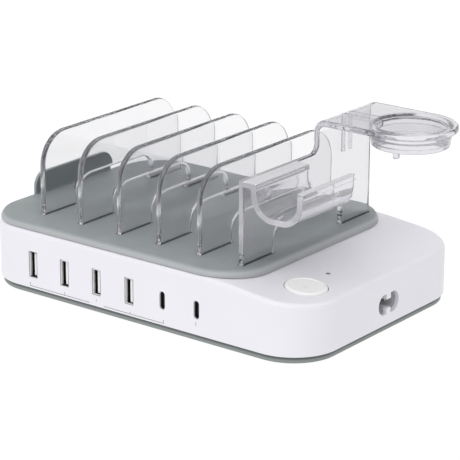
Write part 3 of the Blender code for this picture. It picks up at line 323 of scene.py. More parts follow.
def opaque(name, colour, roughness, metallic=0.0, mottle=0.02, grain=2500.0, height=0.000004):
    """Opaque finish with mottle, uneven gloss and grain."""
    material, shader = new_material(name, {"Metallic": metallic})
    tree = material.node_tree
    patchy = mottled(tree, noise(tree, MOTTLE_SCALE), colour, mottle)
    tree.links.new(patchy, shader.inputs["Base Color"])
    rougher = (roughness * (1 - UNEVEN_GLOSS), roughness * (1 + UNEVEN_GLOSS))
    gloss = mapped(tree, noise(tree, GLOSS_SCALE), NOISE_RANGE, rougher)
    tree.links.new(gloss, shader.inputs["Roughness"])
    bumped(tree, shader, noise(tree, grain, GRAIN_DETAIL), height)
    return material


print("mottle every", round(1000 / MOTTLE_SCALE), "mm")

# %% [markdown]
# ## The opaque finishes
#
# The colours were judged and turned into linear values.  The case is a satin white with a
# trace of lavender, the pad and the cover a cool grey with a trace of green.

# %% Opaque finishes
white_case = opaque("white_case_plastic", (0.80, 0.79, 0.84), 0.40, mottle=0.008, height=0.000002)
grey_cover = opaque("grey_cover_plastic", (0.235, 0.26, 0.255), 0.5)
grey_pad = opaque("grey_pad_rubber", (0.285, 0.31, 0.318), 0.5,
                  mottle=0.03, grain=1800.0, height=0.00001)
contact_white = opaque("contact_carrier_plastic", (0.85, 0.85, 0.86), 0.4)
black_plastic = opaque("black_plastic", (0.012, 0.012, 0.013), 0.45)
grey_inlet = opaque("inlet_plastic", (0.62, 0.62, 0.66), 0.45)
white_button = opaque("white_button_plastic", (0.90, 0.90, 0.905), 0.30,
                      mottle=0.005, height=0.000001)
steel = opaque("bright_steel", (0.60, 0.59, 0.60), 0.30, metallic=1.0, mottle=0.05, grain=900.0)
dark_steel = opaque("shaded_steel", (0.006, 0.006, 0.006), 0.6)
lit_steel = opaque("lit_steel", (0.80, 0.76, 0.765), 0.45, metallic=0.1, mottle=0.04)
brass = opaque("plated_brass", (0.74, 0.66, 0.48), 0.28, metallic=1.0, mottle=0.05)
aluminium = opaque("aluminium", (0.70, 0.71, 0.72), 0.34, metallic=1.0, mottle=0.05, grain=700.0)
laminate = opaque("board_laminate", (0.02, 0.13, 0.05), 0.42,
                  mottle=0.25, grain=1400.0, height=0.00001)
ferrite = opaque("ferrite", (0.045, 0.045, 0.05), 0.7, mottle=0.2, height=0.00002)
tape = opaque("winding_tape", (0.72, 0.52, 0.07), 0.5, mottle=0.08, height=0.00001)
rubber = opaque("foot_rubber", (0.05, 0.05, 0.055), 0.8, mottle=0.1, height=0.00001)
printed_ink = opaque("printed_ink", (0.24, 0.24, 0.26), 0.5)
print("opaque finishes made")

# %% [markdown]
# ## The clear plastic
#
# The plates are moulded in clear styrene.  A thin plate takes a few hundredths of the light, and a
# long way through it, as along an edge, takes most of it: that is why edges look grey where faces
# look clear.  A volume that absorbs a little per metre gives both at once, with no painted edges.
# The absorption is stronger for red and green than for blue, which turns the long ways lavender.

# %% Clear plastic
CLEAR_INDEX = 1.52
CLEAR_ROUGHNESS = (0.0, 0.016)
CLEAR_SHARE = 0.985
DIVIDER_FACE = (0.918, 0.918, 0.926, 1.0)
CLEAR_TINT = (0.80, 0.80, 0.84, 1.0)
CLEAR_DENSITY = 20.0
FLOW_SCALE = 35.0
FLOW_DETAIL = 1.0
FLOW_HEIGHT = 0.000002


def clear(name, colour, share):
    """Clear plastic with a slight haze, a flow pattern and a volume that absorbs."""
    inputs = {"Base Color": colour, "Transmission Weight": share, "IOR": CLEAR_INDEX}
    material, shader = new_material(name, inputs)
    tree = material.node_tree
    gloss = mapped(tree, noise(tree, GLOSS_SCALE), NOISE_RANGE, CLEAR_ROUGHNESS)
    tree.links.new(gloss, shader.inputs["Roughness"])
    bumped(tree, shader, noise(tree, FLOW_SCALE, FLOW_DETAIL), FLOW_HEIGHT)
    volume = {"Color": CLEAR_TINT, "Density": CLEAR_DENSITY}
    inside = linked(tree, "ShaderNodeVolumeAbsorption", volume).outputs["Volume"]
    tree.links.new(inside, tree.nodes["Material Output"].inputs["Volume"])
    return material


clear_plastic = clear("clear_divider_plastic", DIVIDER_FACE, CLEAR_SHARE)
print("clear plastic takes", round(CLEAR_DENSITY * (1 - CLEAR_TINT[0]), 1), "per metre")

# %% [markdown]
# ## Drawing tools
#
# Nearly every piece here is either an outline pushed along an axis, a profile turned about an
# upright line, or a stack of loops.  These few helpers make those three, as lists of points and
# faces, with as many steps in the round stretches as a close view needs.

# %% Outlines
CORNER_STEPS = 16
ROUND_STEPS = 96
SMALL_ROUND_STEPS = 32
EDGE_STEPS = 6


def arc(centre_u, centre_v, radius, start, end, steps=CORNER_STEPS):
    """Points on an arc from one angle to another, both in degrees, both ends included."""
    points = []
    for step in range(steps + 1):
        angle = math.radians(start + (end - start) * step / steps)
        points.append((centre_u + radius * math.cos(angle), centre_v + radius * math.sin(angle)))
    return points


def rounded_rectangle(low_u, low_v, high_u, high_v, radius, steps=CORNER_STEPS):
    """Outline of a rectangle with round corners, counter-clockwise."""
    outline = arc(low_u + radius, low_v + radius, radius, 180, 270, steps)
    outline += arc(high_u - radius, low_v + radius, radius, 270, 360, steps)
    outline += arc(high_u - radius, high_v - radius, radius, 0, 90, steps)
    outline += arc(low_u + radius, high_v - radius, radius, 90, 180, steps)
    return outline


def softened(points, cut, steps=EDGE_STEPS):
    """Open line through the points with each inner corner rounded over a short length."""
    soft = [points[0]]
    for before, corner, after in zip(points, points[1:], points[2:]):
        here = Vector(corner)
        back = Vector(before) - here
        ahead = Vector(after) - here
        start = here + back * min(cut / back.length, 0.5)
        end = here + ahead * min(cut / ahead.length, 0.5)
        for step in range(steps + 1):
            share = step / steps
            point = start * (1 - share) ** 2 + here * 2 * share * (1 - share) + end * share ** 2
            soft.append(tuple(point))
    return soft + [points[-1]]


def signed_area(outline):
    """Area inside an outline, above zero where it runs counter-clockwise."""
    following = outline[1:] + outline[:1]
    return sum(u * next_v - next_u * v for (u, v), (next_u, next_v) in zip(outline, following)) / 2


def inset_outline(outline, distance):
    """The outline moved inwards by a distance."""
    turn = 1 if signed_area(outline) > 0 else -1
    moved = []
    for index, (u, v) in enumerate(outline):
        here = Vector((u, v))
        before = (here - Vector(outline[index - 1])).normalized()
        after = (Vector(outline[(index + 1) % len(outline)]) - here).normalized()
        first = Vector((-before.y, before.x)) * turn
        second = Vector((-after.y, after.x)) * turn
        moved.append(tuple(here + (first + second) * distance / (1 + first.dot(second))))
    return moved


print("a quarter turn takes", CORNER_STEPS, "steps, a soft edge", EDGE_STEPS)

# %% Solids
def spatial(axis, u, v, along):
    """A point of an outline, placed in space for an extrusion along the named axis."""
    if axis == "X":
        return (along, u, v)
    if axis == "Y":
        return (u, along, v)
    return (u, v, along)


def band(low, high, count):
    """Faces between two loops of equally many points, given the index at which each starts."""
    faces = []
    for index in range(count):
        following = (index + 1) % count
        faces.append((low + index, low + following, high + following, high + index))
    return faces


def walls(base, count, levels):
    """Faces through a stack of loops, the first of which starts at a base."""
    faces = []
    for low in range(base, base + levels * count, count):
        faces += band(low, low + count, count)
    return faces


def loft(loops):
    """Closed solid through loops of equally many points, with a face over each end."""
    count = len(loops[0])
    vertices = [point for loop in loops for point in loop]
    ends = [tuple(range(count)), tuple(range(len(vertices) - count, len(vertices)))]
    return vertices, ends + walls(0, count, len(loops) - 1)


def prism(outline, axis, low, high, edge=0.0):
    """Solid with the same outline all along an axis, and round rims where an edge is given."""
    if not edge:
        levels = [(0.0, low), (0.0, high)]
    else:
        angles = [math.radians(90 * step / EDGE_STEPS) for step in range(EDGE_STEPS + 1)]
        rim = [(edge * (1 - math.sin(angle)), edge * (1 - math.cos(angle))) for angle in angles]
        levels = [(inset, low + rise) for inset, rise in rim]
        levels += [(inset, high - rise) for inset, rise in reversed(rim)]
    loops = []
    for inset, along in levels:
        shape = inset_outline(outline, inset) if inset else outline
        loops.append([spatial(axis, u, v, along) for u, v in shape])
    return loft(loops)


def turned(profile, steps, x=0.0, y=0.0):
    """Solid of revolution about an upright line, from (radius, height) points from line to line."""
    vertices = []
    rings = []
    for radius, height in profile:
        start = len(vertices)
        count = steps if radius > 0 else 1
        for step in range(count):
            angle = math.tau * step / steps
            vertices.append((x + radius * math.cos(angle), y + radius * math.sin(angle), height))
        rings.append((start, count))
    faces = []
    for (low, low_count), (high, high_count) in zip(rings, rings[1:]):
        for step in range(steps):
            following = (step + 1) % steps
            corners = [low + step % low_count, low + following % low_count,
                       high + following % high_count, high + step % high_count]
            faces.append(tuple(dict.fromkeys(corners)))
    return vertices, faces


def rod(radius, low, high, steps, x, y):
    """Plain upright cylinder."""
    return turned([(0, low), (radius, low), (radius, high), (0, high)], steps, x, y)


def combined(*shapes):
    """Several separate solids as one list of vertices and faces."""
    vertices = []
    faces = []
    for shape_vertices, shape_faces in shapes:
        base = len(vertices)
        vertices += shape_vertices
        faces += [tuple(base + index for index in face) for face in shape_faces]
    return vertices, faces


print("a whole turn takes", ROUND_STEPS, "steps, a small one", SMALL_ROUND_STEPS)

# %% [markdown]
# ## From lists to finished pieces
#
# A raw piece gets its faces turned outwards.  Cutting and joining is done with exact Booleans,
# baked at once.  Finishing then shades the piece smooth, marks real edges sharp, and weighs the
# normals by face area, so that flat walls stay optically flat right up to their rounded rims.  On
# clear plastic that matters more than the number of faces.

# %% Raw, cut and finished pieces
SMOOTH_ANGLE = math.radians(38)
NORMAL_WEIGHT = 80
OVERRUN = 0.002
WELD = 0.000001


def raw_piece(name, shape):
    """Object of a shape, moved from the case's numbers to the frame's, with faces outwards."""
    vertices, faces = shape
    mesh = bpy.data.meshes.new(name)
    mesh.from_pydata([CASE_CORNER + Vector(place) for place in vertices], [], faces)
    editable = bmesh.new()
    editable.from_mesh(mesh)
    bmesh.ops.remove_doubles(editable, verts=editable.verts, dist=WELD)
    bmesh.ops.recalc_face_normals(editable, faces=editable.faces)
    editable.to_mesh(mesh)
    editable.free()
    return new_object(name, mesh)


def bake(piece):
    """Turn a piece with its modifiers into a plain mesh."""
    graph = bpy.context.evaluated_depsgraph_get()
    mesh = bpy.data.meshes.new_from_object(piece.evaluated_get(graph))
    piece.modifiers.clear()
    piece.data = mesh
    mesh.name = piece.name
    return piece


def combine(piece, shape, operation):
    """Cut a shape out of a piece, or join it on."""
    helper = raw_piece("helper", shape)
    modifier = piece.modifiers.new("combine", "BOOLEAN")
    modifier.object = helper
    modifier.operation = operation
    modifier.solver = "EXACT"
    bake(piece)
    bpy.data.objects.remove(helper)


def smooth(piece):
    """Smooth shading with sharp real edges and area-weighted normals."""
    piece.data.shade_smooth()
    piece.data.set_sharp_from_angle(angle=SMOOTH_ANGLE)
    modifier = piece.modifiers.new("weighted", "WEIGHTED_NORMAL")
    modifier.mode = "FACE_AREA"
    modifier.weight = NORMAL_WEIGHT
    modifier.keep_sharp = True
    bake(piece)


def finish(piece, material, body, slot, *nodes):
    """Smooth a piece, give it its finish, let it ride on its body and stand for CAD nodes."""
    if not piece.data.materials:
        piece.data.materials.append(material)
    smooth(piece)
    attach(piece, body)
    if nodes:
        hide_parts(*nodes)
    print(piece.name, len(piece.data.polygons), "faces")


print("edges over", round(math.degrees(SMOOTH_ANGLE)), "degrees stay sharp")

# %% [markdown]
# ## The case moulding
#
# On the real object this is one white shell whose top is flat on the left and then falls gently to
# the right.  The change of slope is a soft bend, not a crease, so the height follows a short
# parabola there.  The wall is a stack of loops: an upright wall with a tiny rim below, then a round
# edge at the top.  The top itself is a ladder of narrow strips from the front loop to the rear
# loop, which bends cleanly.

# %% Height of the case's top
SLOPE_LENGTH = 0.0492
SLOPE_FALL = 0.0048
BEND_HALF = 0.009
SLOPE_START = CASE_WIDTH - SLOPE_LENGTH
SLOPE = SLOPE_FALL / SLOPE_LENGTH


def top_height(x):
    """Height of the case's top: flat, a soft bend, then an even slope."""
    past = x - SLOPE_START
    if past <= -BEND_HALF:
        return CASE_HEIGHT
    if past >= BEND_HALF:
        return CASE_HEIGHT - past * SLOPE
    return CASE_HEIGHT - SLOPE * (past + BEND_HALF) ** 2 / (4 * BEND_HALF)


print("the top falls", 1000 * SLOPE_FALL, "mm over", 1000 * SLOPE_LENGTH, "mm")

# %% Case shell
CASE_CORNER_RADIUS = 0.024
TOP_EDGE_RADIUS = 0.0024
LOW_EDGE = 0.0003
SHELL_WALL = 0.0022
GAP = 0.0003
CASE_FLOOR = 0.0033
BEND_STATIONS = 10
TOP_EDGE_STEPS = 8


def case_loop(inset, height):
    """Loop round the case, with points across the bend; its height is a function of X."""
    radius = CASE_CORNER_RADIUS - inset
    far_u = CASE_WIDTH - inset
    far_v = CASE_DEPTH - inset
    first = SLOPE_START - BEND_HALF
    stations = [first + 2 * BEND_HALF * step / BEND_STATIONS for step in range(BEND_STATIONS + 1)]
    outline = arc(inset + radius, inset + radius, radius, 180, 270)
    outline += [(x, inset) for x in stations]
    outline += arc(far_u - radius, inset + radius, radius, 270, 360)
    outline += arc(far_u - radius, far_v - radius, radius, 0, 90)
    outline += [(x, far_v) for x in reversed(stations)]
    outline += arc(inset + radius, far_v - radius, radius, 90, 180)
    return [(x, y, height(x)) for x, y in outline]


def shell_surface(loops, vertices, faces):
    """Walls through the loops and a ladder of strips over the last one; gives the first index."""
    base = len(vertices)
    count = len(loops[0])
    for loop in loops:
        vertices += loop
    faces += walls(base, count, len(loops) - 1)
    top = base + (len(loops) - 1) * count
    half = count // 2
    for index in range(half - 1):
        front = (top + index, top + index + 1)
        rear = (top + count - 2 - index, top + count - 1 - index)
        faces.append((*front, *rear))
    return base


def shell_shape():
    """Case wall with round edges, open below."""
    vertices = []
    faces = []
    outer = [case_loop(LOW_EDGE, lambda x: CASE_FLOOR)]
    outer.append(case_loop(0.0, lambda x: CASE_FLOOR + LOW_EDGE))
    for step in range(TOP_EDGE_STEPS + 1):
        angle = math.radians(90 * step / TOP_EDGE_STEPS)
        inset = TOP_EDGE_RADIUS * (1 - math.cos(angle))
        drop = TOP_EDGE_RADIUS * (1 - math.sin(angle))
        outer.append(case_loop(inset, lambda x, fall=drop: top_height(x) - fall))
    floor = case_loop(SHELL_WALL, lambda x: CASE_FLOOR)
    ceiling = case_loop(SHELL_WALL, lambda x: top_height(x) - SHELL_WALL)
    outer_base = shell_surface(outer, vertices, faces)
    inner_base = shell_surface([floor, ceiling], vertices, faces)
    return vertices, faces + band(outer_base, inner_base, len(floor))


shell = raw_piece("case_moulding", shell_shape())
print("case wall", len(shell.data.polygons), "faces before its openings are cut")

# %% [markdown]
# ## Openings in the case
#
# Four upright sockets and two small round-ended ones go through the front wall, a two-lobed inlet
# through the right end, a round hole for the button and a pinhole for the light through the sloping
# top.  Each is a plain cut, a little larger than the part that stands in it.  The thin dark line
# that this gap leaves all round is what the eye reads as the rim of a mouth.

# %% Socket places and outlines
LARGE_SOCKETS = 4
SMALL_SOCKETS = 2
SOCKET_COUNT = LARGE_SOCKETS + SMALL_SOCKETS
FIRST_SOCKET_X = 0.0348
SOCKET_PITCH = 0.020
SOCKET_HEIGHT = 0.0155
LARGE_OPENING = (0.0054, 0.0132)
SMALL_OPENING = (0.0032, 0.0089)
LARGE_OPENING_CORNER = 0.0004
LEAST_CORNER = 0.0001
ROUND_END = 0.999
SOCKET_STEPS = 8


def socket_x(index):
    """Middle of a socket, counted from the left."""
    return FIRST_SOCKET_X + index * SOCKET_PITCH


def socket_outline(index, inset=0.0):
    """Outline of a large or a small socket, seen from the front."""
    x = socket_x(index)
    large = index < LARGE_SOCKETS
    width, height = LARGE_OPENING if large else SMALL_OPENING
    half_u = width / 2 - inset
    half_v = height / 2 - inset
    low, high = SOCKET_HEIGHT - half_v, SOCKET_HEIGHT + half_v
    radius = max(LARGE_OPENING_CORNER - inset, LEAST_CORNER) if large else half_u * ROUND_END
    return rounded_rectangle(x - half_u, low, x + half_u, high, radius, SOCKET_STEPS)


print("sockets at", [round(1000 * socket_x(index), 1) for index in range(SOCKET_COUNT)], "mm")

# %% Inlet outline
INLET_Y = CASE_DEPTH / 2 + 0.0007
INLET_HEIGHT = 0.0136
INLET_LOBE_RADIUS = 0.005
INLET_LOBE_SPACING = 0.0064
INLET_NOTCH = 0.0033
INLET_WAIST = 0.0044


def inlet_outline():
    """Two round lobes joined by a narrow waist, seen from the right."""
    half_notch = INLET_NOTCH / 2
    half_waist = INLET_WAIST / 2
    radius = INLET_LOBE_RADIUS
    lobe = INLET_LOBE_SPACING / 2
    reach = math.degrees(math.acos((half_notch - lobe) / radius))
    near = INLET_Y - half_notch
    far = INLET_Y + half_notch
    outline = arc(INLET_Y + lobe, INLET_HEIGHT, radius, -reach, reach, 2 * CORNER_STEPS)
    outline += [(far, INLET_HEIGHT + half_waist), (near, INLET_HEIGHT + half_waist)]
    outline += arc(INLET_Y - lobe, INLET_HEIGHT, radius, 180 - reach, 180 + reach, 2 * CORNER_STEPS)
    outline += [(near, INLET_HEIGHT - half_waist), (far, INLET_HEIGHT - half_waist)]
    return outline


print("inlet drawn with", len(inlet_outline()), "points")

# %% [markdown]
# ## Printed lines
#
# Thin grey lines below the sockets group them.  Each lies in a groove a few hundredths deep, so it
# ends flush with the front wall and the lines are real pieces rather than a painted picture.  The
# grooves are cut along with the openings, so the outlines come first.

# %% Outlines of the printed lines
LINE_WIDTH = 0.00032
LINE_DEPTH = 0.00006
LINE_SKIN = 0.00001
LINE_HEIGHT = 0.0045
BRACKETS = (((0.0328, 0.0063), (0.0548, 0.0061), (0.0704, 0.0)),
            ((0.0794, 0.0), (0.0954, 0.0055), (0.1155, 0.0063)))
LONE_TICKS = ((0.0747, 0.0058, 0.0070), (0.1345, 0.0078, 0.0096))


def bracket_outline(stations, half):
    """Outline of a line with ticks; a station is a place and the top of its tick, or nought."""
    lower = LINE_HEIGHT - half
    upper = LINE_HEIGHT + half
    outline = [(stations[0][0] - half, lower), (stations[-1][0] + half, lower)]
    for x, top in reversed(stations):
        tick = [(x + half, upper), (x + half, top), (x - half, top), (x - half, upper)]
        outline += tick if top else [tick[0], tick[3]]
    return [point for index, point in enumerate(outline) if point != outline[index - 1]]


def printed_shapes(front, rear, widening=0.0):
    """All the printed lines as thin solids between two depths."""
    half = LINE_WIDTH / 2 + widening
    outlines = [bracket_outline(stations, half) for stations in BRACKETS]
    for x, low, high in LONE_TICKS:
        outlines.append([(x - half, low), (x + half, low), (x + half, high), (x - half, high)])
    return combined(*[prism(outline, "Y", front, rear) for outline in outlines])


print(len(BRACKETS), "brackets and", len(LONE_TICKS), "single ticks")

# %% Cut the openings
BUTTON_X = CASE_WIDTH - 0.018
BUTTON_Y = 0.0255
BUTTON_RADIUS = 0.0099
LIGHT_X = CASE_WIDTH - 0.0202
LIGHT_Y = 0.0457
LIGHT_RADIUS = 0.0009


def front_cuts():
    """Six openings through the front wall."""
    through = (-OVERRUN, SHELL_WALL + OVERRUN)
    return combined(*[prism(socket_outline(index), "Y", *through) for index in range(SOCKET_COUNT)])


def top_cuts():
    """Button hole and pinhole."""
    low = CASE_HEIGHT - SLOPE_FALL - SHELL_WALL - OVERRUN
    high = CASE_HEIGHT + OVERRUN
    button = rod(BUTTON_RADIUS + GAP, low, high, ROUND_STEPS, BUTTON_X, BUTTON_Y)
    light = rod(LIGHT_RADIUS + GAP, low, high, SMALL_ROUND_STEPS, LIGHT_X, LIGHT_Y)
    return combined(button, light)


def inlet_cut():
    """Inlet opening through the right end."""
    return prism(inlet_outline(), "X", CASE_WIDTH - SHELL_WALL - OVERRUN, CASE_WIDTH + OVERRUN)


grooves = printed_shapes(-OVERRUN, LINE_DEPTH, LINE_SKIN)
for cutter in (front_cuts(), inlet_cut(), top_cuts(), grooves):
    combine(shell, cutter, "DIFFERENCE")
finish(shell, white_case, "case", "white_case", "housing_shell")

# %% [markdown]
# ## Bottom cover
#
# The cover is a grey tray set back a little under the shell, which reads as a thin dark base line.
# It could be a smaller copy of the case's outline, but a scaled corner isn't parallel to the first.
# Loops at a real inset keep the step even all round.  Pockets below take four soft feet and four
# cross-head screws, which follow further down.  The upper edge, which lies in the shade under the
# shell, gets painted shade, a darker colour.

# %% Bottom cover
COVER_HEIGHT = 0.003
COVER_INSET = 0.0012
COVER_CHAMFER = 0.0008
COVER_SHADE_ABOVE = 0.62
COVER_PAINTED_SHADE = (0.09, 0.10, 0.10, 1.0)
FOOT_INSET = (0.030, 0.012)
SCREW_INSET = (0.012, 0.012)
FOOT_RADIUS = 0.005
FOOT_PROUD = 0.0008
SCREW_HEAD_RADIUS = 0.0025
COUNTERBORE = 0.0018


def corner_places(inset_x, inset_y):
    """Four places near the case's corners."""
    across = (inset_x, CASE_WIDTH - inset_x)
    return [(x, y) for x in across for y in (inset_y, CASE_DEPTH - inset_y)]


def cover_loop(inset, height):
    """Loop round the bottom cover."""
    edge = COVER_INSET + inset
    high_u, high_v = CASE_WIDTH - edge, CASE_DEPTH - edge
    outline = rounded_rectangle(edge, edge, high_u, high_v, CASE_CORNER_RADIUS - edge)
    return [(x, y, height) for x, y in outline]


def pockets(radius, depth, inset):
    """Cutters for four round pockets from below."""
    size = (radius + GAP, -OVERRUN, depth, SMALL_ROUND_STEPS)
    return [rod(*size, x, y) for x, y in corner_places(*inset)]


def paint_cover_shade(material):
    """Paint shade on the cover's upper edge, which lies under the shell, as a darker colour."""
    tree = material.node_tree
    entry = tree.nodes["Principled BSDF"].inputs["Base Color"]
    # painted shade: above this height the cover takes a darker colour, for the shade under the shell
    upper = beyond(tree, own_place(tree)["Z"], CASE_CORNER.z + COVER_HEIGHT * COVER_SHADE_ABOVE)
    tree.links.new(blended(tree, upper, entry.links[0].from_socket, COVER_PAINTED_SHADE), entry)


def make_cover():
    """Tray with a rounded lower rim and eight pockets."""
    side = [(COVER_CHAMFER * 2, 0.0), (0.0, 0.0), (0.0, COVER_HEIGHT)]
    rim = softened(side, COVER_CHAMFER)
    cover = raw_piece("cover_moulding", loft([cover_loop(inset, height) for inset, height in rim]))
    feet = pockets(FOOT_RADIUS, FOOT_PROUD, FOOT_INSET)
    screws = pockets(SCREW_HEAD_RADIUS, COUNTERBORE, SCREW_INSET)
    combine(cover, combined(*feet, *screws), "DIFFERENCE")
    finish(cover, grey_cover, "case", "grey_cover", "bottom_cover")


paint_cover_shade(grey_cover)
make_cover()

# %% [markdown]
# ## The pad
#
# The pad is a grey moulding that covers the flat part of the case and laps a little over the bend.
# Its upper rim is a steep chamfer with soft transitions, and a low rounded fence stands at its left
# end.  The rim could come from a Bevel modifier, but fence and slots would disturb it; a stack of
# loops keeps it the same all round.  Pairs of slots take the feet of the clear plates.  The fence's
# inner side lies in the shade of the plates, so that shade is painted on it as a darker colour, and
# the pad's rim and sides get painted light, a lighter colour than its top.

# %% Pad outline and rim
PAD_LEFT_INSET = 0.0005
PAD_INSET = 0.0012
PAD_RIGHT = CASE_WIDTH - 0.0384
PAD_RISE = 0.0033
PAD_TOP = CASE_HEIGHT + PAD_RISE
PAD_UNDERSIDE = CASE_HEIGHT + GAP
PAD_CORNER_RADIUS = CASE_CORNER_RADIUS - PAD_INSET
PAD_CHAMFER = 0.0015
PAD_CHAMFER_HEIGHT = 0.0022
PAD_SOFTENING = 0.0006


def pad_loop(inset, height):
    """Loop round the pad."""
    low_u = PAD_LEFT_INSET + inset
    low_v = PAD_INSET + inset
    high_u = PAD_RIGHT - inset
    high_v = CASE_DEPTH - PAD_INSET - inset
    outline = rounded_rectangle(low_u, low_v, high_u, high_v, PAD_CORNER_RADIUS - inset)
    return [(x, y, height) for x, y in outline]


print("the pad ends", round(1000 * PAD_RIGHT, 1), "mm from the case's left face")

# %% Clear plate places
DIVIDERS = 5
PLATE_THICKNESS = 0.003
FIRST_PLATE_X = 0.0276
LAST_PLATE_X = PAD_RIGHT - 0.00925
PLATE_PITCH = (LAST_PLATE_X - FIRST_PLATE_X) / DIVIDERS
PLATE_FRONT = 0.0155
PLATE_REAR = CASE_DEPTH - 0.0132
PLATE_FOOT = 0.0238
PLATE_MIDDLE = (PLATE_FRONT + PLATE_REAR) / 2


def plate_slots():
    """Two slots under each clear plate, right through the pad."""
    slots = []
    half = PLATE_THICKNESS / 2 + GAP
    feet = [(PLATE_FRONT, PLATE_FRONT + PLATE_FOOT), (PLATE_REAR - PLATE_FOOT, PLATE_REAR)]
    for index in range(DIVIDERS + 1):
        middle = FIRST_PLATE_X + index * PLATE_PITCH
        for front, rear in feet:
            outline = [(middle - half, front - GAP), (middle + half, front - GAP),
                       (middle + half, rear + GAP), (middle - half, rear + GAP)]
            slots.append(prism(outline, "Z", PAD_UNDERSIDE - OVERRUN, PAD_TOP + OVERRUN))
    return combined(*slots)


print("clear plates every", round(1000 * PLATE_PITCH, 2), "mm")

# %% Fence and pad
FENCE_INSET = 0.0009
FENCE_THICKNESS = 0.0019
FENCE_LENGTH = 0.0549
FENCE_FORWARD = 0.001
FENCE_HEIGHT = 0.0113
FENCE_CORNER_RADIUS = 0.008
FENCE_EDGE = 0.0005
FENCE_INNER_SHARE = 0.9
FENCE_PAINTED_SHADE = (0.15, 0.175, 0.175, 1.0)
PAD_RIM_PAINTED_LIGHT = (0.41, 0.425, 0.435, 1.0)
UNDER_STEP = 0.001
UNDER_STEPS = 24


def fence_shape():
    """Low upright fence with round upper corners and soft rims."""
    left = PAD_LEFT_INSET + FENCE_INSET
    front = PLATE_MIDDLE - FENCE_FORWARD - FENCE_LENGTH / 2
    rear = front + FENCE_LENGTH
    top = PAD_TOP + FENCE_HEIGHT
    radius = FENCE_CORNER_RADIUS
    outline = [(front, PAD_UNDERSIDE + GAP), (rear, PAD_UNDERSIDE + GAP)]
    outline += arc(rear - radius, top - radius, radius, 0, 90)
    outline += arc(front + radius, top - radius, radius, 90, 180)
    return prism(outline, "X", left, left + FENCE_THICKNESS, FENCE_EDGE)


def under_pad():
    """Everything below the pad's underside, following the case's top."""
    below = CASE_HEIGHT - SLOPE_FALL - OVERRUN
    stations = [PAD_RIGHT + OVERRUN - step * UNDER_STEP for step in range(UNDER_STEPS)]
    outline = [(-OVERRUN, below), (PAD_RIGHT + OVERRUN, below)]
    outline += [(x, top_height(x) + GAP) for x in stations]
    outline.append((-OVERRUN, PAD_UNDERSIDE))
    return prism(outline, "Y", -OVERRUN, CASE_DEPTH + OVERRUN)


def make_pad():
    """Pad with its chamfered rim, fence and slots."""
    side = [(0.0, CASE_HEIGHT - SLOPE_FALL), (0.0, PAD_TOP - PAD_CHAMFER_HEIGHT)]
    side += [(PAD_CHAMFER, PAD_TOP), (PAD_CHAMFER * 3, PAD_TOP)]
    rim = softened(side, PAD_SOFTENING)
    pad = raw_piece("pad_moulding", loft([pad_loop(inset, height) for inset, height in rim]))
    combine(pad, fence_shape(), "UNION")
    combine(pad, under_pad(), "DIFFERENCE")
    combine(pad, plate_slots(), "DIFFERENCE")
    finish(pad, grey_pad, "case", "grey_pad", "top_pad")


def paint_pad_shade_and_light(material):
    """Paint shade on the inner side of the fence and light on the pad's rim and sides, as colours."""
    tree = material.node_tree
    place = own_place(tree)
    inner_side = PAD_LEFT_INSET + FENCE_INSET + FENCE_THICKNESS * FENCE_INNER_SHARE
    corner = CASE_CORNER + Vector((inner_side, 0, PAD_TOP))
    across = beyond(tree, place["X"], corner.x)
    above = beyond(tree, place["Z"], corner.z + 2 * MASK_EDGE)
    on_fence = linked(tree, "ShaderNodeMath", {0: across, 1: above}, "MULTIPLY").outputs["Value"]
    on_top = beyond(tree, place["Z"], corner.z - 2 * MASK_EDGE)
    entry = tree.nodes["Principled BSDF"].inputs["Base Color"]
    # painted light: below the pad's top, the rim and sides take a lighter colour
    colour = blended(tree, on_top, PAD_RIM_PAINTED_LIGHT, entry.links[0].from_socket)
    # painted shade: the fence's inner side takes a darker colour
    tree.links.new(blended(tree, on_fence, colour, FENCE_PAINTED_SHADE), entry)


paint_pad_shade_and_light(grey_pad)
make_pad()

# %% [markdown]
# ## One clear divider
#
# A divider is a flat plate with big round upper corners, and below it has a foot at each end with
# an arch between them.  Its rims are almost half-round, as on a flame-polished edge: such a rim is
# a lens, and draws the fine light and dark lines along the edges.  One outline serves all the
# plates, so it is drawn once, in the plane that looks along X.  The front corner of the arch is
# drawn out into a longer curve than the rear one.  Three small catch grooves cross the front edge
# of each foot.

# %% Divider plate
PLATE_HEIGHT = 0.040
PLATE_CORNER_RADIUS = 0.016
PLATE_EDGE = 0.0013
CATCH_GROOVES = 3
CATCH_LOW = 0.0012
CATCH_PITCH = 0.0019
CATCH_DEPTH = 0.0010
ARCH_HEIGHT = 0.0134
ARCH_CORNER_RADIUS = 0.0068
ARCH_STRETCH = 1.6


def foot_outline():
    """Lower edge of a clear plate from front to rear: a foot, an arch and a foot."""
    arch = PAD_TOP + ARCH_HEIGHT
    radius = ARCH_CORNER_RADIUS
    front = PLATE_FRONT + PLATE_FOOT
    rear = PLATE_REAR - PLATE_FOOT
    outline = [(PLATE_FRONT, PAD_UNDERSIDE), (front, PAD_UNDERSIDE)]
    outline += [(front + (y - front) * ARCH_STRETCH, z)
                for y, z in arc(front + radius, arch - radius, radius, 180, 90)]
    outline += arc(rear - radius, arch - radius, radius, 90, 0)
    return outline + [(rear, PAD_UNDERSIDE), (PLATE_REAR, PAD_UNDERSIDE)]


def divider_outline():
    """Whole outline of a divider."""
    top = PAD_TOP + PLATE_HEIGHT
    radius = PLATE_CORNER_RADIUS
    outline = foot_outline()
    outline += arc(PLATE_REAR - radius, top - radius, radius, 0, 90)
    return outline + arc(PLATE_FRONT + radius, top - radius, radius, 90, 180)


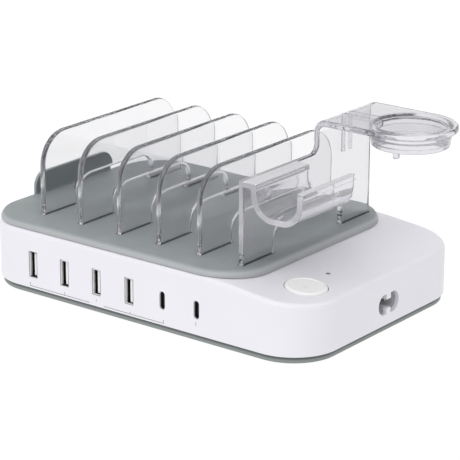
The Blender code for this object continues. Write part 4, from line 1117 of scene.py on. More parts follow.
def catch_grooves(middle):
    """Cutters for the small catch grooves across the front edge of each foot."""
    grooves = []
    for front in (PLATE_FRONT, PLATE_REAR - PLATE_FOOT):
        for index in range(CATCH_GROOVES):
            centre = PAD_TOP + CATCH_LOW + index * CATCH_PITCH
            outline = [(front - CATCH_DEPTH, centre - CATCH_DEPTH), (front + CATCH_DEPTH, centre),
                       (front - CATCH_DEPTH, centre + CATCH_DEPTH)]
            grooves.append(prism(outline, "X", middle - PLATE_THICKNESS, middle + PLATE_THICKNESS))
    return combined(*grooves)


def shape_of(piece):
    """The vertices and faces of a piece, back in the case's own numbers; the piece goes away."""
    vertices = [tuple(corner.co - CASE_CORNER) for corner in piece.data.vertices]
    faces = [tuple(face.vertices) for face in piece.data.polygons]
    bpy.data.objects.remove(piece)
    return vertices, faces


def divider_shape():
    """One divider with its catch grooves."""
    half = PLATE_THICKNESS / 2
    low = FIRST_PLATE_X - half
    plate = prism(divider_outline(), "X", low, low + PLATE_THICKNESS, PLATE_EDGE)
    piece = raw_piece("pattern", plate)
    combine(piece, catch_grooves(FIRST_PLATE_X), "DIFFERENCE")
    return shape_of(piece)


first_divider = divider_shape()
print("divider drawn with", len(first_divider[0]), "points")

# %% [markdown]
# ## The row of dividers
#
# The five plates are the same moulding at an even pitch.  A Geometry Nodes tree holds that rule: it
# takes the first plate, a place in the row and the pitch, and moves the plate there.  Because each
# plate lifts out by itself, the tree is run once for each body and its result kept as a plain mesh.

# %% Tree for pieces in a row
def new_tree(name, inputs):
    """Empty tree that takes a geometry, named inputs and a finish; gives it and what it takes."""
    tree = bpy.data.node_groups.new(name, "GeometryNodeTree")
    for label, kind in {"Geometry": "Geometry", **inputs, "Finish": "Material"}.items():
        tree.interface.new_socket(label, in_out="INPUT", socket_type="NodeSocket" + kind)
    tree.interface.new_socket("Geometry", in_out="OUTPUT", socket_type="NodeSocketGeometry")
    return tree, tree.nodes.new("NodeGroupInput").outputs


def close_tree(tree, geometry, coat):
    """Real geometry in place of instances, with the material set, as the tree's last steps."""
    real = linked(tree, "GeometryNodeRealizeInstances", {"Geometry": geometry}).outputs["Geometry"]
    coated = linked(tree, "GeometryNodeSetMaterial", {"Geometry": real, "Material": coat})
    linked(tree, "NodeGroupOutput", {"Geometry": coated.outputs["Geometry"]})
    return tree


def run_tree(piece, tree, values):
    """Run a tree on a piece with the given inputs and keep the result as a plain mesh."""
    modifier = piece.modifiers.new("tree", "NODES")
    modifier.node_group = tree
    for item in tree.interface.items_tree:
        if item.in_out == "INPUT" and item.name in values:
            modifier[item.identifier] = values[item.name]
    return bake(piece)


def row_tree():
    """Tree that moves a piece to its place in an even row along X."""
    tree, sizes = new_tree("place_in_row", {"Place in Row": "Int", "Pitch": "Float"})
    run = linked(tree, "ShaderNodeMath", {0: sizes["Place in Row"], 1: sizes["Pitch"]}, "MULTIPLY")
    shift = linked(tree, "ShaderNodeCombineXYZ", {"X": run.outputs["Value"]}).outputs["Vector"]
    move = {"Geometry": sizes["Geometry"], "Translation": shift}
    moved = linked(tree, "GeometryNodeTransform", move).outputs["Geometry"]
    return close_tree(tree, moved, sizes["Finish"])


place_in_row = row_tree()
print("the row's tree has", len(place_in_row.nodes), "nodes")

# %% Five dividers
for index in range(DIVIDERS):
    values = {"Place in Row": index, "Pitch": PLATE_PITCH, "Finish": clear_plastic}
    divider = run_tree(raw_piece(f"divider_plate_{index + 1}", first_divider), place_in_row, values)
    node = f"divider_{index + 1}"
    finish(divider, clear_plastic, f"{node}_body", "clear_plate", node)

# %% [markdown]
# ## The stand
#
# The stand is one clear moulding.  Its plate has the same feet and arch as a divider, its rear half
# grows taller and bends over into a flat arm with a round end.  The plate is drawn flat, with round
# rims, then cut into narrow strips along the bend and wrapped round it, so the rims stay true all
# the way.  Trough, ribs and cup are joined on, and the bore is cut last.

# %% Stand sizes
STAND_LOW_HEIGHT = 0.0401
STAND_HEIGHT = 0.0558
STAND_TALL_LENGTH = 0.0438
STAND_STEP_RADIUS = 0.004
BEND_INNER_RADIUS = 0.003
ARM_LENGTH = 0.0616
STAND_EDGE = 0.0011
BEND_STEPS = 12
STAND_LEFT = LAST_PLATE_X - PLATE_THICKNESS / 2
STAND_RIGHT = STAND_LEFT + PLATE_THICKNESS
ARM_END = STAND_LEFT + ARM_LENGTH
ARM_TOP = PAD_TOP + STAND_HEIGHT
ARM_UNDERSIDE = ARM_TOP - PLATE_THICKNESS
ARM_MIDDLE = PLATE_REAR - STAND_TALL_LENGTH / 2
BEND_START = ARM_UNDERSIDE - BEND_INNER_RADIUS
BEND_LENGTH = (BEND_INNER_RADIUS + PLATE_THICKNESS / 2) * math.pi / 2


def stand_outline():
    """Outline of the stand laid flat: feet and arch, tall rear with a round end, low front."""
    half = STAND_TALL_LENGTH / 2
    straight = ARM_LENGTH - PLATE_THICKNESS - BEND_INNER_RADIUS - half
    end_centre = BEND_START + BEND_LENGTH + straight
    low_top = PAD_TOP + STAND_LOW_HEIGHT
    step_front = PLATE_REAR - STAND_TALL_LENGTH
    radius = STAND_STEP_RADIUS
    outline = foot_outline()
    outline += arc(ARM_MIDDLE, end_centre, half, 0, 180, 4 * CORNER_STEPS)
    outline += arc(step_front - radius, low_top + radius, radius, 360, 270, CORNER_STEPS)
    outline.append((PLATE_FRONT, low_top))
    return outline


def bent_place(x, y, run):
    """Where a point of the flat stand goes; run is its height along the middle of the bend."""
    outer = PLATE_THICKNESS + BEND_INNER_RADIUS
    radius = outer - x
    if run <= BEND_START:
        return (STAND_LEFT + x, y, run)
    if run >= BEND_START + BEND_LENGTH:
        return (STAND_LEFT + outer + run - BEND_START - BEND_LENGTH, y, BEND_START + radius)
    angle = (run - BEND_START) / (BEND_INNER_RADIUS + PLATE_THICKNESS / 2)
    return (STAND_LEFT + outer - radius * math.cos(angle), y, BEND_START + radius * math.sin(angle))


def bent_plate():
    """The stand's plate, made flat, divided along the bend and then bent."""
    vertices, faces = prism(stand_outline(), "X", 0.0, PLATE_THICKNESS, STAND_EDGE)
    sheet = bmesh.new()
    corners = [sheet.verts.new(place) for place in vertices]
    for face in faces:
        sheet.faces.new([corners[index] for index in face])
    for step in range(BEND_STEPS + 1):
        height = BEND_START + BEND_LENGTH * step / BEND_STEPS
        everything = sheet.verts[:] + sheet.edges[:] + sheet.faces[:]
        bmesh.ops.bisect_plane(sheet, geom=everything, plane_co=(0, 0, height), plane_no=(0, 0, 1))
    sheet.verts.index_update()
    places = [bent_place(*corner.co) for corner in sheet.verts]
    sides = [tuple(corner.index for corner in face.verts) for face in sheet.faces]
    sheet.free()
    return places, sides


print("the arm's top lies", round(1000 * ARM_TOP, 1), "mm up")

# %% Trough
TROUGH_LENGTH = 0.041
TROUGH_WALL = 0.003
TROUGH_WIDTH = 0.0224
TROUGH_CORNER_RADIUS = 0.0088
TROUGH_FROM_PLATE = 0.0071
TROUGH_FLOOR_HEIGHT = 0.0258
TROUGH_LIP_HEIGHT = 0.040
TROUGH_EDGE = 0.00045
FLANGE_FILLET = 0.0014
FLANGE_FILLET_REACH = 0.0021
FLANGE_FILLET_TURN = 80
FLANGE_WAVES = 3
FLANGE_WAVE = 0.00018
FLANGE_WAVE_STEPS = 8
LIP_BEAD = 0.0005
LIP_BEAD_HEIGHT = 0.0024
TROUGH_STEPS = 24
TROUGH_SETBACK = 0.00005


def trough_shape():
    """Open trough that hangs from a flange on the plate's right side, a U with upright walls."""
    left = STAND_RIGHT + TROUGH_FROM_PLATE
    right = left + TROUGH_WIDTH
    flange_top = PAD_TOP + STAND_LOW_HEIGHT - TROUGH_SETBACK
    lip = PAD_TOP + TROUGH_LIP_HEIGHT
    root = STAND_LEFT + PLATE_THICKNESS / 2
    inner = TROUGH_CORNER_RADIUS
    outer = inner + TROUGH_WALL
    middle = PAD_TOP + TROUGH_FLOOR_HEIGHT + inner
    flat = left - FLANGE_FILLET - STAND_RIGHT
    below = flange_top - TROUGH_WALL
    outline = [(root, below), (root, flange_top)]
    steps = FLANGE_WAVES * FLANGE_WAVE_STEPS
    for step in range(steps + 1):
        dip = FLANGE_WAVE * (1 - math.cos(math.tau * FLANGE_WAVES * step / steps)) / 2
        outline.append((STAND_RIGHT + flat * step / steps, flange_top - dip))
    centre = (left - FLANGE_FILLET, flange_top - FLANGE_FILLET)
    outline += arc(*centre, FLANGE_FILLET, FLANGE_FILLET_TURN, 0, EDGE_STEPS * 2)
    outline += arc(left + inner, middle, inner, 180, 270, TROUGH_STEPS)
    outline += arc(right - inner, middle, inner, 270, 360, TROUGH_STEPS)
    face = right + TROUGH_WALL
    bead = lip - LIP_BEAD_HEIGHT
    rim = [(right, lip - LIP_BEAD * 2), (right, lip), (face + LIP_BEAD, lip)]
    rim += [(face + LIP_BEAD, bead), (face, bead - LIP_BEAD), (face, bead - LIP_BEAD * 3)]
    outline += softened(rim, LIP_BEAD)
    outline += arc(right - inner, middle, outer, 360, 270, TROUGH_STEPS)
    outline += arc(left + inner, middle, outer, 270, 180, TROUGH_STEPS)
    wall = left - TROUGH_WALL
    reach = FLANGE_FILLET_REACH
    corner = [(wall, below - reach), (wall, below), (wall - reach, below)]
    outline += softened(corner, FLANGE_FILLET)
    front = PLATE_FRONT + TROUGH_SETBACK
    return prism(outline, "Y", front, PLATE_FRONT + TROUGH_LENGTH, TROUGH_EDGE)


print("trough", 1000 * TROUGH_LENGTH, "mm long,", 1000 * TROUGH_WIDTH, "mm wide inside")

# %% Ring, cup and peg
RING_X = ARM_END - STAND_TALL_LENGTH / 2
RING_RADIUS = 0.0172
CUP_TOP_RADIUS = 0.0195
CUP_BOTTOM_RADIUS = 0.0183
CUP_DEPTH = 0.0099
CUP_WALL = 0.0016
LEDGE_THICKNESS = 0.0018
LEDGE_RADIUS = 0.015
CUP_EDGE = 0.0005
CUP_STEP = 0.0005
CUP_STEP_DOWN = 0.0022
SEAT_DEPTH = 0.0015
SEAT_WIDTH = 0.0008
PEG_RADIUS = 0.0016
PEG_LENGTH = 0.0026
PEG_OUT = 0.0166
PEG_ANGLE = math.radians(-80.0)
CUP_BOTTOM = ARM_TOP - CUP_DEPTH


def cup_shape():
    """Solid plug of the hanging cup."""
    middle = ARM_TOP - PLATE_THICKNESS / 2
    step = ARM_UNDERSIDE - CUP_STEP_DOWN
    profile = [(0, CUP_BOTTOM), (CUP_BOTTOM_RADIUS, CUP_BOTTOM)]
    profile.append((CUP_TOP_RADIUS - CUP_STEP, step))
    profile += [(CUP_TOP_RADIUS, step + CUP_STEP), (CUP_TOP_RADIUS, middle), (0, middle)]
    return turned(softened(profile, CUP_EDGE), ROUND_STEPS, RING_X, ARM_MIDDLE)


def peg_shape():
    """Small peg under the front of the cup."""
    low = CUP_BOTTOM - PEG_LENGTH
    high = CUP_BOTTOM + LEDGE_THICKNESS / 2
    profile = softened([(0, low), (PEG_RADIUS, low), (PEG_RADIUS, high), (0, high)], CUP_EDGE)
    x = RING_X + PEG_OUT * math.cos(PEG_ANGLE)
    y = ARM_MIDDLE + PEG_OUT * math.sin(PEG_ANGLE)
    return turned(profile, SMALL_ROUND_STEPS, x, y)


def cup_bore():
    """Space inside the ring and cup, down to a ledge with a smaller opening."""
    ledge = CUP_BOTTOM + LEDGE_THICKNESS
    low = CUP_BOTTOM - OVERRUN
    high = ARM_TOP + OVERRUN
    flare = RING_RADIUS + CUP_EDGE
    seat = ARM_TOP - SEAT_DEPTH
    side = [(LEDGE_RADIUS, low), (LEDGE_RADIUS, ledge), (CUP_BOTTOM_RADIUS - CUP_WALL, ledge)]
    side += [(RING_RADIUS - SEAT_WIDTH, seat), (RING_RADIUS, seat)]
    side += [(RING_RADIUS, ARM_TOP - CUP_EDGE), (flare, ARM_TOP + CUP_EDGE / 4), (flare, high)]
    profile = [(0, low)] + softened(side, CUP_EDGE) + [(0, high)]
    return turned(profile, ROUND_STEPS, RING_X, ARM_MIDDLE)


print("ring", 2000 * RING_RADIUS, "mm wide, cup", 1000 * CUP_DEPTH, "mm deep")

# %% Cord ribs
RIB_SPACING = 0.0055
RIB_WIDTH = 0.0014
RIB_HEIGHT = 0.0018
RIB_DROP = 0.0193
RIB_EDGE = 0.0002


def cord_ribs():
    """Two ribs that guide a cord down the plate and along the arm's underside."""
    middle = PLATE_THICKNESS / 2
    low = ARM_TOP - RIB_DROP
    under = ARM_UNDERSIDE - RIB_HEIGHT
    end = RING_X - (RING_RADIUS + CUP_TOP_RADIUS) / 2
    ridge = STAND_RIGHT + RIB_HEIGHT
    bend_end = STAND_RIGHT + BEND_INNER_RADIUS
    outline = [(STAND_RIGHT - middle, low), (ridge, low), (ridge, under), (end, under)]
    outline += [(end, ARM_TOP - middle), (bend_end, ARM_TOP - middle)]
    outline.append((STAND_RIGHT - middle, BEND_START))
    ribs = []
    for side in (-1, 1):
        centre = ARM_MIDDLE + side * RIB_SPACING / 2
        ribs.append(prism(outline, "Y", centre - RIB_WIDTH / 2, centre + RIB_WIDTH / 2, RIB_EDGE))
    return combined(*ribs)


print("ribs", 1000 * RIB_SPACING, "mm apart")

# %% [markdown]
# ### The stand's painted shade
#
# The stand is the same plastic, but its tall plate and its arm look a little greyer than the
# dividers, and the cup greyer again, most of all at its rear, while the trough stays light.  That
# greyness is painted shade in the base colour: masks made from the Object coordinates tell plate,
# arm, cup and trough apart, and blend five tints.

# %% Painted shade of the stand
PLATE_PAINTED_SHADE = (0.80, 0.80, 0.815, 1.0)
TROUGH_FACE = (0.93, 0.92, 0.94, 1.0)
ARM_PAINTED_SHADE = (0.88, 0.875, 0.90, 1.0)
CUP_FRONT_PAINTED_SHADE = (0.76, 0.755, 0.785, 1.0)
CUP_REAR_PAINTED_SHADE = (0.64, 0.635, 0.665, 1.0)


def paint_stand_shade(material, centre):
    """Blend five tints of painted shade into the stand's clear plastic."""
    tree = material.node_tree
    place = own_place(tree)
    level = {"X": place["X"], "Y": place["Y"]}
    flat = linked(tree, "ShaderNodeCombineXYZ", level).outputs["Vector"]
    pair = {0: flat, 1: (centre.x, centre.y, 0.0)}
    away = linked(tree, "ShaderNodeVectorMath", pair, "DISTANCE").outputs["Value"]
    right = CASE_CORNER.x + STAND_RIGHT + 2 * MASK_EDGE
    # painted shade: plate, arm and cup greyer than the dividers, the cup's rear greyest, the trough
    # lightest
    low = blended(tree, beyond(tree, place["X"], right), PLATE_PAINTED_SHADE, TROUGH_FACE)
    upper = blended(tree, beyond(tree, place["Z"], CASE_CORNER.z + BEND_START), low, ARM_PAINTED_SHADE)
    cup = blended(tree, beyond(tree, place["Y"], centre.y), CUP_FRONT_PAINTED_SHADE, CUP_REAR_PAINTED_SHADE)
    colour = blended(tree, beyond(tree, away, CUP_TOP_RADIUS), cup, upper)
    tree.links.new(colour, tree.nodes["Principled BSDF"].inputs["Base Color"])


stand_plastic = clear("clear_stand_plastic", PLATE_PAINTED_SHADE, CLEAR_SHARE)
paint_stand_shade(stand_plastic, CASE_CORNER + Vector((RING_X, ARM_MIDDLE, 0)))
print("the stand's plastic has five tints")

# %% [markdown]
# ### Rims that catch the light
#
# The ends of the stand's thick walls scatter light and look milky: the front rim of the plate, the
# front end and the lip of the trough, and the flange above it.  Those faces get the same plastic
# with nearly a third of it turned from clear to milky, and the lip's top with more than half.  They
# are found by where they lie and which way they face.

# %% Milky rims
RIM_FACE = (0.95, 0.935, 0.965, 1.0)
RIM_SHARE = 0.70
LIP_SHARE = 0.40
RIM_TURN = 0.45
RIM_CLEAR_FOOT = 0.004
RIM_SLOT = 1
LIP_SLOT = 2


def turn_milky(piece):
    """Give the milky plastics to the rims of the plate, the trough and the flange."""
    front, flange = CASE_CORNER.y + PLATE_FRONT, CASE_CORNER.z + PAD_TOP + STAND_LOW_HEIGHT
    foot, lip = CASE_CORNER.z + PAD_TOP, CASE_CORNER.z + PAD_TOP + TROUGH_LIP_HEIGHT
    for face in piece.data.polygons:
        x, y, z = face.center
        forward = face.normal.y < -RIM_TURN and y < front + STAND_EDGE and z > foot + RIM_CLEAR_FOOT
        upward = face.normal.z > RIM_TURN and y < front + TROUGH_LENGTH
        on_lip = abs(z - lip) < LIP_BEAD and x > CASE_CORNER.x + STAND_RIGHT
        on_flange = flange - STAND_EDGE < z < flange + MASK_EDGE
        if upward and on_lip:
            face.material_index = LIP_SLOT
        elif forward or upward and on_flange:
            face.material_index = RIM_SLOT


milky_plastic = clear("milky_rim_plastic", RIM_FACE, RIM_SHARE)
lip_plastic = clear("milky_lip_plastic", RIM_FACE, LIP_SHARE)
print("the milky rims let", RIM_SHARE, "of the light through, the lip", LIP_SHARE)

# %% Join the stand
stand = raw_piece("stand_moulding", bent_plate())
combine(stand, catch_grooves(LAST_PLATE_X), "DIFFERENCE")
for shape in (trough_shape(), cord_ribs(), cup_shape(), peg_shape()):
    combine(stand, shape, "UNION")
combine(stand, cup_bore(), "DIFFERENCE")
for plastic in (stand_plastic, milky_plastic, lip_plastic):
    stand.data.materials.append(plastic)
turn_milky(stand)
finish(stand, stand_plastic, "stand_body", "clear_plate", "watch_stand")

# %% [markdown]
# ## The power button
#
# A round cap of a glossier white plastic stands a millimetre proud of the sloping top.  Its middle
# is slightly dished and its rim is soft.  Its faces lean with the slope, but its wall is parallel
# to the upright hole, so it is turned upright first and then sheared, not tilted.

# %% Button cap
BUTTON_PROUD = 0.0010
BUTTON_RIM = 0.0022
BUTTON_DISH = 0.0007
BUTTON_EDGE = 0.0009
BUTTON_CROWN = 0.0012
BUTTON_EDGE_CUT = 0.00108
DISH_SHARES = (0.0, 0.03, 0.2, 0.4, 0.6, 0.8, 1.0)
DISH_ROUND = 0.3
BUTTON_SKIRT = 0.0012
BUTTON_FLANGE = 0.0008


def button_shape():
    """Cap with a dished top, soft rim, skirt and retaining flange, sheared along the slope."""
    flange_top = -SHELL_WALL - GAP
    bottom = flange_top - BUTTON_SKIRT
    rim = BUTTON_RADIUS - BUTTON_RIM
    inner = BUTTON_RADIUS - BUTTON_SKIRT
    flange = BUTTON_RADIUS + BUTTON_FLANGE
    dish = []
    for share in DISH_SHARES:
        dish.append((rim * share, BUTTON_PROUD - BUTTON_DISH * (1 - DISH_ROUND * share ** 2)))
    top = [dish[-1], (BUTTON_RADIUS - BUTTON_EDGE * 2, BUTTON_PROUD)]
    top += [(BUTTON_RADIUS, BUTTON_PROUD - BUTTON_EDGE / 2), (BUTTON_RADIUS, flange_top)]
    profile = dish[:-1] + softened(top, BUTTON_EDGE_CUT)
    profile += [(flange, flange_top), (flange, bottom), (inner, bottom)]
    profile += [(inner, -BUTTON_CROWN), (0, -BUTTON_CROWN)]
    vertices, faces = turned(profile, ROUND_STEPS)
    level = top_height(BUTTON_X)
    sheared = [(BUTTON_X + x, BUTTON_Y + y, level + z - x * SLOPE) for x, y, z in vertices]
    return sheared, faces


cap = raw_piece("button_cap", button_shape())
finish(cap, white_button, "button", "white_case", "power_button")

# %% [markdown]
# ## Sockets
#
# Each socket is a folded steel sleeve with a contact carrier inside.  A sleeve could be a thickened
# tube; a loft through five outlines gives its wall and its closed rear in one go.  The inside of a
# real sleeve lies in the dark, so it gets a shaded steel.  Light reaches only the left wall of a
# large one, for about a millimetre, so that stretch and the rim before it get a lit steel.

# %% Sleeves
SOCKET_SETBACK = 0.0005
LARGE_SLEEVE_DEPTH = 0.014
SMALL_SLEEVE_DEPTH = 0.0085
SLEEVE_WALL = 0.0004
SLEEVE_BRIGHT = 0.0011
SLEEVE_FACING = 0.5
SHADED_SLOT = 1
LIT_SLOT = 2


def sleeve_shape(index):
    """Steel sleeve, open at the front and closed at the rear."""
    depth = LARGE_SLEEVE_DEPTH if index < LARGE_SOCKETS else SMALL_SLEEVE_DEPTH
    outer = socket_outline(index, GAP)
    inner = socket_outline(index, GAP + SLEEVE_WALL)
    front = SOCKET_SETBACK
    rear = SOCKET_SETBACK + depth
    levels = [(outer, rear), (outer, front), (inner, front), (inner, front + SLEEVE_BRIGHT)]
    levels.append((inner, rear - SLEEVE_WALL))
    return loft([[(u, y, v) for u, v in outline] for outline, y in levels])


def make_sleeve(index, name, node):
    """Sleeve with its inner walls in shaded steel and, where light reaches, in lit steel."""
    sleeve = raw_piece(name, sleeve_shape(index))
    for material in (steel, dark_steel, lit_steel):
        sleeve.data.materials.append(material)
    limit = CASE_CORNER.y + SOCKET_SETBACK + SLEEVE_BRIGHT
    middle_x = CASE_CORNER.x + socket_x(index)
    middle_z = CASE_CORNER.z + SOCKET_HEIGHT
    for face in sleeve.data.polygons:
        inward = Vector((middle_x, face.center.y, middle_z)) - face.center
        forward = face.normal.y < -SLEEVE_FACING
        left = index < LARGE_SOCKETS and face.center.x < middle_x
        if left and face.center.y < limit and (inward.x * face.normal.x > 0 or forward):
            face.material_index = LIT_SLOT
        elif inward.dot(face.normal) >= 0 or forward:
            face.material_index = SHADED_SLOT
    finish(sleeve, steel, "case", "bright_steel", node)


for index in range(SOCKET_COUNT):
    large = index < LARGE_SOCKETS
    number = index + 1 if large else index + 1 - LARGE_SOCKETS
    kind = "usb_a" if large else "usb_c"
    make_sleeve(index, f"{kind}_sleeve_{number}", f"{kind}_shell_{number}")

# %% Printed lines as pieces
lines = raw_piece("printed_lines", printed_shapes(LINE_SKIN, LINE_DEPTH))
finish(lines, printed_ink, "case", "grey_cover")

# %% [markdown]
# ## Small parts that repeat
#
# Screws, feet and contacts repeat one shape.  Each is drawn once, and Instance on Points sets it
# down at every point of a grid or a line.  Two nested lines place the contacts: one runs up the
# tongue of a socket, the other along the sockets.  The spring follows a path instead, so a circle
# is swept along a spiral.  The numbers come in through named inputs, so the trees serve any station
# of this kind.

# %% Trees for corners, contacts and coils
COIL_STEPS = 32
WIRE_STEPS = 10


def corners_tree():
    """Tree that sets a piece down at the four corners of a rectangle."""
    tree, sizes = new_tree("four_corners", {"Length": "Float", "Depth": "Float"})
    spans = {"Size X": sizes["Length"], "Size Y": sizes["Depth"], "Vertices X": 2, "Vertices Y": 2}
    points = linked(tree, "GeometryNodeMeshGrid", spans).outputs["Mesh"]
    copies = {"Points": points, "Instance": sizes["Geometry"]}
    placed = linked(tree, "GeometryNodeInstanceOnPoints", copies).outputs["Instances"]
    return close_tree(tree, placed, sizes["Finish"])


def contacts_tree():
    """Tree that sets a contact down in an even row in each of an even row of sockets."""
    inputs = {"Contacts": "Int", "Contact Pitch": "Vector"}
    inputs.update({"Sockets": "Int", "Socket Pitch": "Vector"})
    tree, sizes = new_tree("contact_rows", inputs)
    placed = sizes["Geometry"]
    for count, pitch in (("Contacts", "Contact Pitch"), ("Sockets", "Socket Pitch")):
        line = linked(tree, "GeometryNodeMeshLine", {"Count": sizes[count], "Offset": sizes[pitch]})
        copies = {"Points": line.outputs["Mesh"], "Instance": placed}
        placed = linked(tree, "GeometryNodeInstanceOnPoints", copies).outputs["Instances"]
    return close_tree(tree, placed, sizes["Finish"])


def coil_tree():
    """Tree that sweeps a round wire along a spiral and moves it to its place."""
    inputs = dict.fromkeys(("Turns", "Radius", "Height", "Wire Radius"), "Float")
    tree, sizes = new_tree("coil", {**inputs, "Place": "Vector"})
    path = {"Resolution": COIL_STEPS, "Rotations": sizes["Turns"], "Height": sizes["Height"]}
    path.update({"Start Radius": sizes["Radius"], "End Radius": sizes["Radius"]})
    spiral = linked(tree, "GeometryNodeCurveSpiral", path).outputs["Curve"]
    section = {"Resolution": WIRE_STEPS, "Radius": sizes["Wire Radius"]}
    circle = linked(tree, "GeometryNodeCurvePrimitiveCircle", section).outputs["Curve"]
    sweep = {"Curve": spiral, "Profile Curve": circle, "Fill Caps": True}
    wire = linked(tree, "GeometryNodeCurveToMesh", sweep).outputs["Mesh"]
    moved = linked(tree, "GeometryNodeTransform", {"Geometry": wire, "Translation": sizes["Place"]})
    return close_tree(tree, moved.outputs["Geometry"], sizes["Finish"])


four_corners = corners_tree()
contact_rows = contacts_tree()
coil_of_wire = coil_tree()
for tree in (four_corners, contact_rows, coil_of_wire):
    print(tree.name, len(tree.nodes), "nodes")

# %% Feet and screws
FOOT_SOFT = 0.0005
SCREW_TIP = 0.0115
SCREW_SHANK_RADIUS = 0.0011
SCREW_CORE_RADIUS = 0.0008
SCREW_HEAD_HEIGHT = 0.0012
SCREW_SOFT = 0.0004
THREAD_PITCH = 0.0008
RECESS_REACH = 0.0014
RECESS_WIDTH = 0.0004
RECESS_DEPTH = 0.0008
RECESS_TAPER = 0.6
RECESS_ARMS = 4
MIDDLE = (CASE_WIDTH / 2, CASE_DEPTH / 2)


def numbered(name, count):
    """Names of repeated nodes, which end in _1, _2 and so on."""
    return [f"{name}_{index + 1}" for index in range(count)]


def foot_shape():
    """Rubber disc with a soft lower rim."""
    top = FOOT_PROUD - GAP
    profile = [(0, -FOOT_PROUD), (FOOT_RADIUS, -FOOT_PROUD), (FOOT_RADIUS, top), (0, top)]
    return turned(softened(profile, FOOT_SOFT), ROUND_STEPS, *MIDDLE)


def screw_shape():
    """Pan head, core and threads, turned from one outline."""
    seat = COUNTERBORE
    under = seat - SCREW_HEAD_HEIGHT
    head = [(0, under), (SCREW_HEAD_RADIUS, under), (SCREW_HEAD_RADIUS, seat)]
    profile = softened(head + [(SCREW_CORE_RADIUS, seat)], SCREW_SOFT)
    height = seat + THREAD_PITCH
    while height + THREAD_PITCH * 2 < SCREW_TIP:
        profile += [(SCREW_CORE_RADIUS, height), (SCREW_SHANK_RADIUS, height + THREAD_PITCH / 2)]
        height += THREAD_PITCH
    profile += [(SCREW_CORE_RADIUS, height), (0, SCREW_TIP)]
    return turned(profile, SMALL_ROUND_STEPS, *MIDDLE)


def recess_shape():
    """Cutter for the cross recess, a plus that tapers inwards."""
    quarter = [(RECESS_REACH, -RECESS_WIDTH), (RECESS_REACH, RECESS_WIDTH)]
    quarter.append((RECESS_WIDTH, RECESS_WIDTH))
    plus = []
    for turn in range(RECESS_ARMS):
        plus += quarter
        quarter = [(-v, u) for u, v in quarter]
    face = COUNTERBORE - SCREW_HEAD_HEIGHT
    levels = ((1.0, face - RECESS_DEPTH), (1.0, face), (RECESS_TAPER, face + RECESS_DEPTH))
    loops = []
    for share, height in levels:
        loops.append([(MIDDLE[0] + u * share, MIDDLE[1] + v * share, height) for u, v in plus])
    return loft(loops)


def add_at_corners(piece, inset, material, slot, node):
    """Copies of a piece near the case's corners, as one piece."""
    spans = {"Length": CASE_WIDTH - inset[0] * 2, "Depth": CASE_DEPTH - inset[1] * 2}
    run_tree(piece, four_corners, {**spans, "Finish": material})
    finish(piece, material, "case", slot, *numbered(node, len(corner_places(*inset))))


feet = raw_piece("rubber_feet", foot_shape())
add_at_corners(feet, FOOT_INSET, rubber, "foot_rubber", "rubber_foot")
screws = raw_piece("case_screws", screw_shape())
combine(screws, recess_shape(), "DIFFERENCE")
add_at_corners(screws, SCREW_INSET, steel, "bright_steel", "case_screw")

# %% Contacts on the tongues
CONTACT_PROUD = 0.00012
CONTACT_FRONT = 0.0021
LARGE_CONTACTS = 4
LARGE_CONTACT_PITCH = 0.0024
LARGE_CONTACT_WIDTH = 0.0010
LARGE_CONTACT_LENGTH = 0.0080
SMALL_CONTACTS = 11
SMALL_CONTACT_PITCH = 0.0005
SMALL_CONTACT_WIDTH = 0.00025
SMALL_CONTACT_LENGTH = 0.0035
CONTACT_STEPS = 3
LARGE_TONGUE = 0.0015
LARGE_TONGUE_SHIFT = 0.00065
SMALL_TONGUE = 0.0007


def contact_shape(x, pitch, count, width, length):
    """Lowest contact of a tongue: a strip with round corners, sunk half way into the face at x."""
    low = SOCKET_HEIGHT - pitch * (count - 1) / 2 - width / 2
    rear = CONTACT_FRONT + length
    strip = rounded_rectangle(CONTACT_FRONT, low, rear, low + width, width / 3, CONTACT_STEPS)
    return prism(strip, "X", x - CONTACT_PROUD, x + CONTACT_PROUD)


def add_contacts(name, first, sockets, sides, size):
    """Contacts of one kind of socket, as one piece."""
    count, pitch, width, length = size
    x = socket_x(first)
    strips = combined(*[contact_shape(x + side, pitch, count, width, length) for side in sides])
    values = {"Contacts": count, "Contact Pitch": (0, 0, pitch), "Sockets": sockets}
    values.update({"Socket Pitch": (socket_x(first + 1) - x, 0, 0), "Finish": brass})
    finish(run_tree(raw_piece(name, strips), contact_rows, values), brass, "case", "plated_brass")


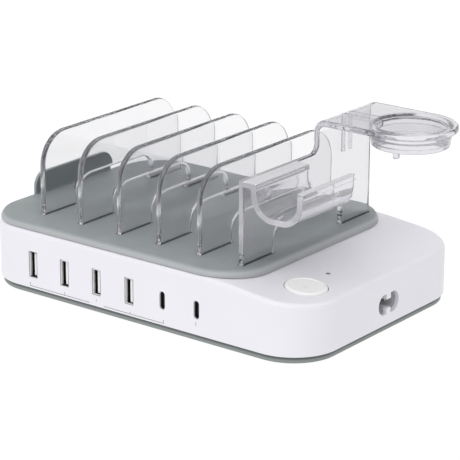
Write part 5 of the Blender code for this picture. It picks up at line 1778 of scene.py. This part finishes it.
large_size = (LARGE_CONTACTS, LARGE_CONTACT_PITCH, LARGE_CONTACT_WIDTH, LARGE_CONTACT_LENGTH)
small_size = (SMALL_CONTACTS, SMALL_CONTACT_PITCH, SMALL_CONTACT_WIDTH, SMALL_CONTACT_LENGTH)
large_sides = [LARGE_TONGUE_SHIFT - LARGE_TONGUE / 2]
add_contacts("large_contacts", 0, LARGE_SOCKETS, large_sides, large_size)
small_sides = [-SMALL_TONGUE / 2, SMALL_TONGUE / 2]
add_contacts("small_contacts", LARGE_SOCKETS, SMALL_SOCKETS, small_sides, small_size)

# %% Button spring
WIRE_RADIUS = 0.0003
COIL_TURNS = 6.0

spring_low, spring_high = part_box("button_spring")
coil_length = spring_high.z - spring_low.z - WIRE_RADIUS * 2
foot = (BUTTON_X + CASE_CORNER.x, BUTTON_Y + CASE_CORNER.y, spring_low.z + WIRE_RADIUS)
coil = {"Turns": COIL_TURNS, "Radius": (spring_high.y - spring_low.y) / 2 - WIRE_RADIUS}
coil.update({"Height": coil_length, "Wire Radius": WIRE_RADIUS, "Place": foot, "Finish": steel})
spring = run_tree(raw_piece("coil_spring", ([], [])), coil_of_wire, coil)
finish(spring, steel, "case", "bright_steel", "button_spring")
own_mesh(spring)

# %% [markdown]
# ## Finishes of the parts that keep their CAD shape
#
# The boards and the parts on them lie inside the closed case, and the inlet and the contact
# carriers show only inside their openings.  Their CAD solids are right as they are, so they only
# change their finish.

# %% Dress the remaining nodes
FINISHES_OF_NODES = (
    (grey_inlet, ["ac_inlet"]),
    (brass, ["ac_pin_1", "ac_pin_2"]),
    (black_plastic, ["board_link", "mains_capacitor", "power_switch"]),
    (black_plastic, numbered("usb_c_tongue", SMALL_SOCKETS)),
    (contact_white, ["fuse", "status_led", "switch_plunger"]),
    (contact_white, numbered("usb_a_tongue", LARGE_SOCKETS)),
    (aluminium, ["heat_sink", "output_capacitor_1", "output_capacitor_2"]),
    (clear_plastic, ["led_light_pipe"]),
    (ferrite, ["mains_choke", "transformer_core"]),
    (laminate, ["port_board", "power_board"]),
    (tape, ["transformer_winding"]),
)
for material, nodes in FINISHES_OF_NODES:
    for node in nodes:
        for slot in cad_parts[node].material_slots:
            slot.material = material
print(sum(len(nodes) for material, nodes in FINISHES_OF_NODES), "nodes keep their CAD shape")
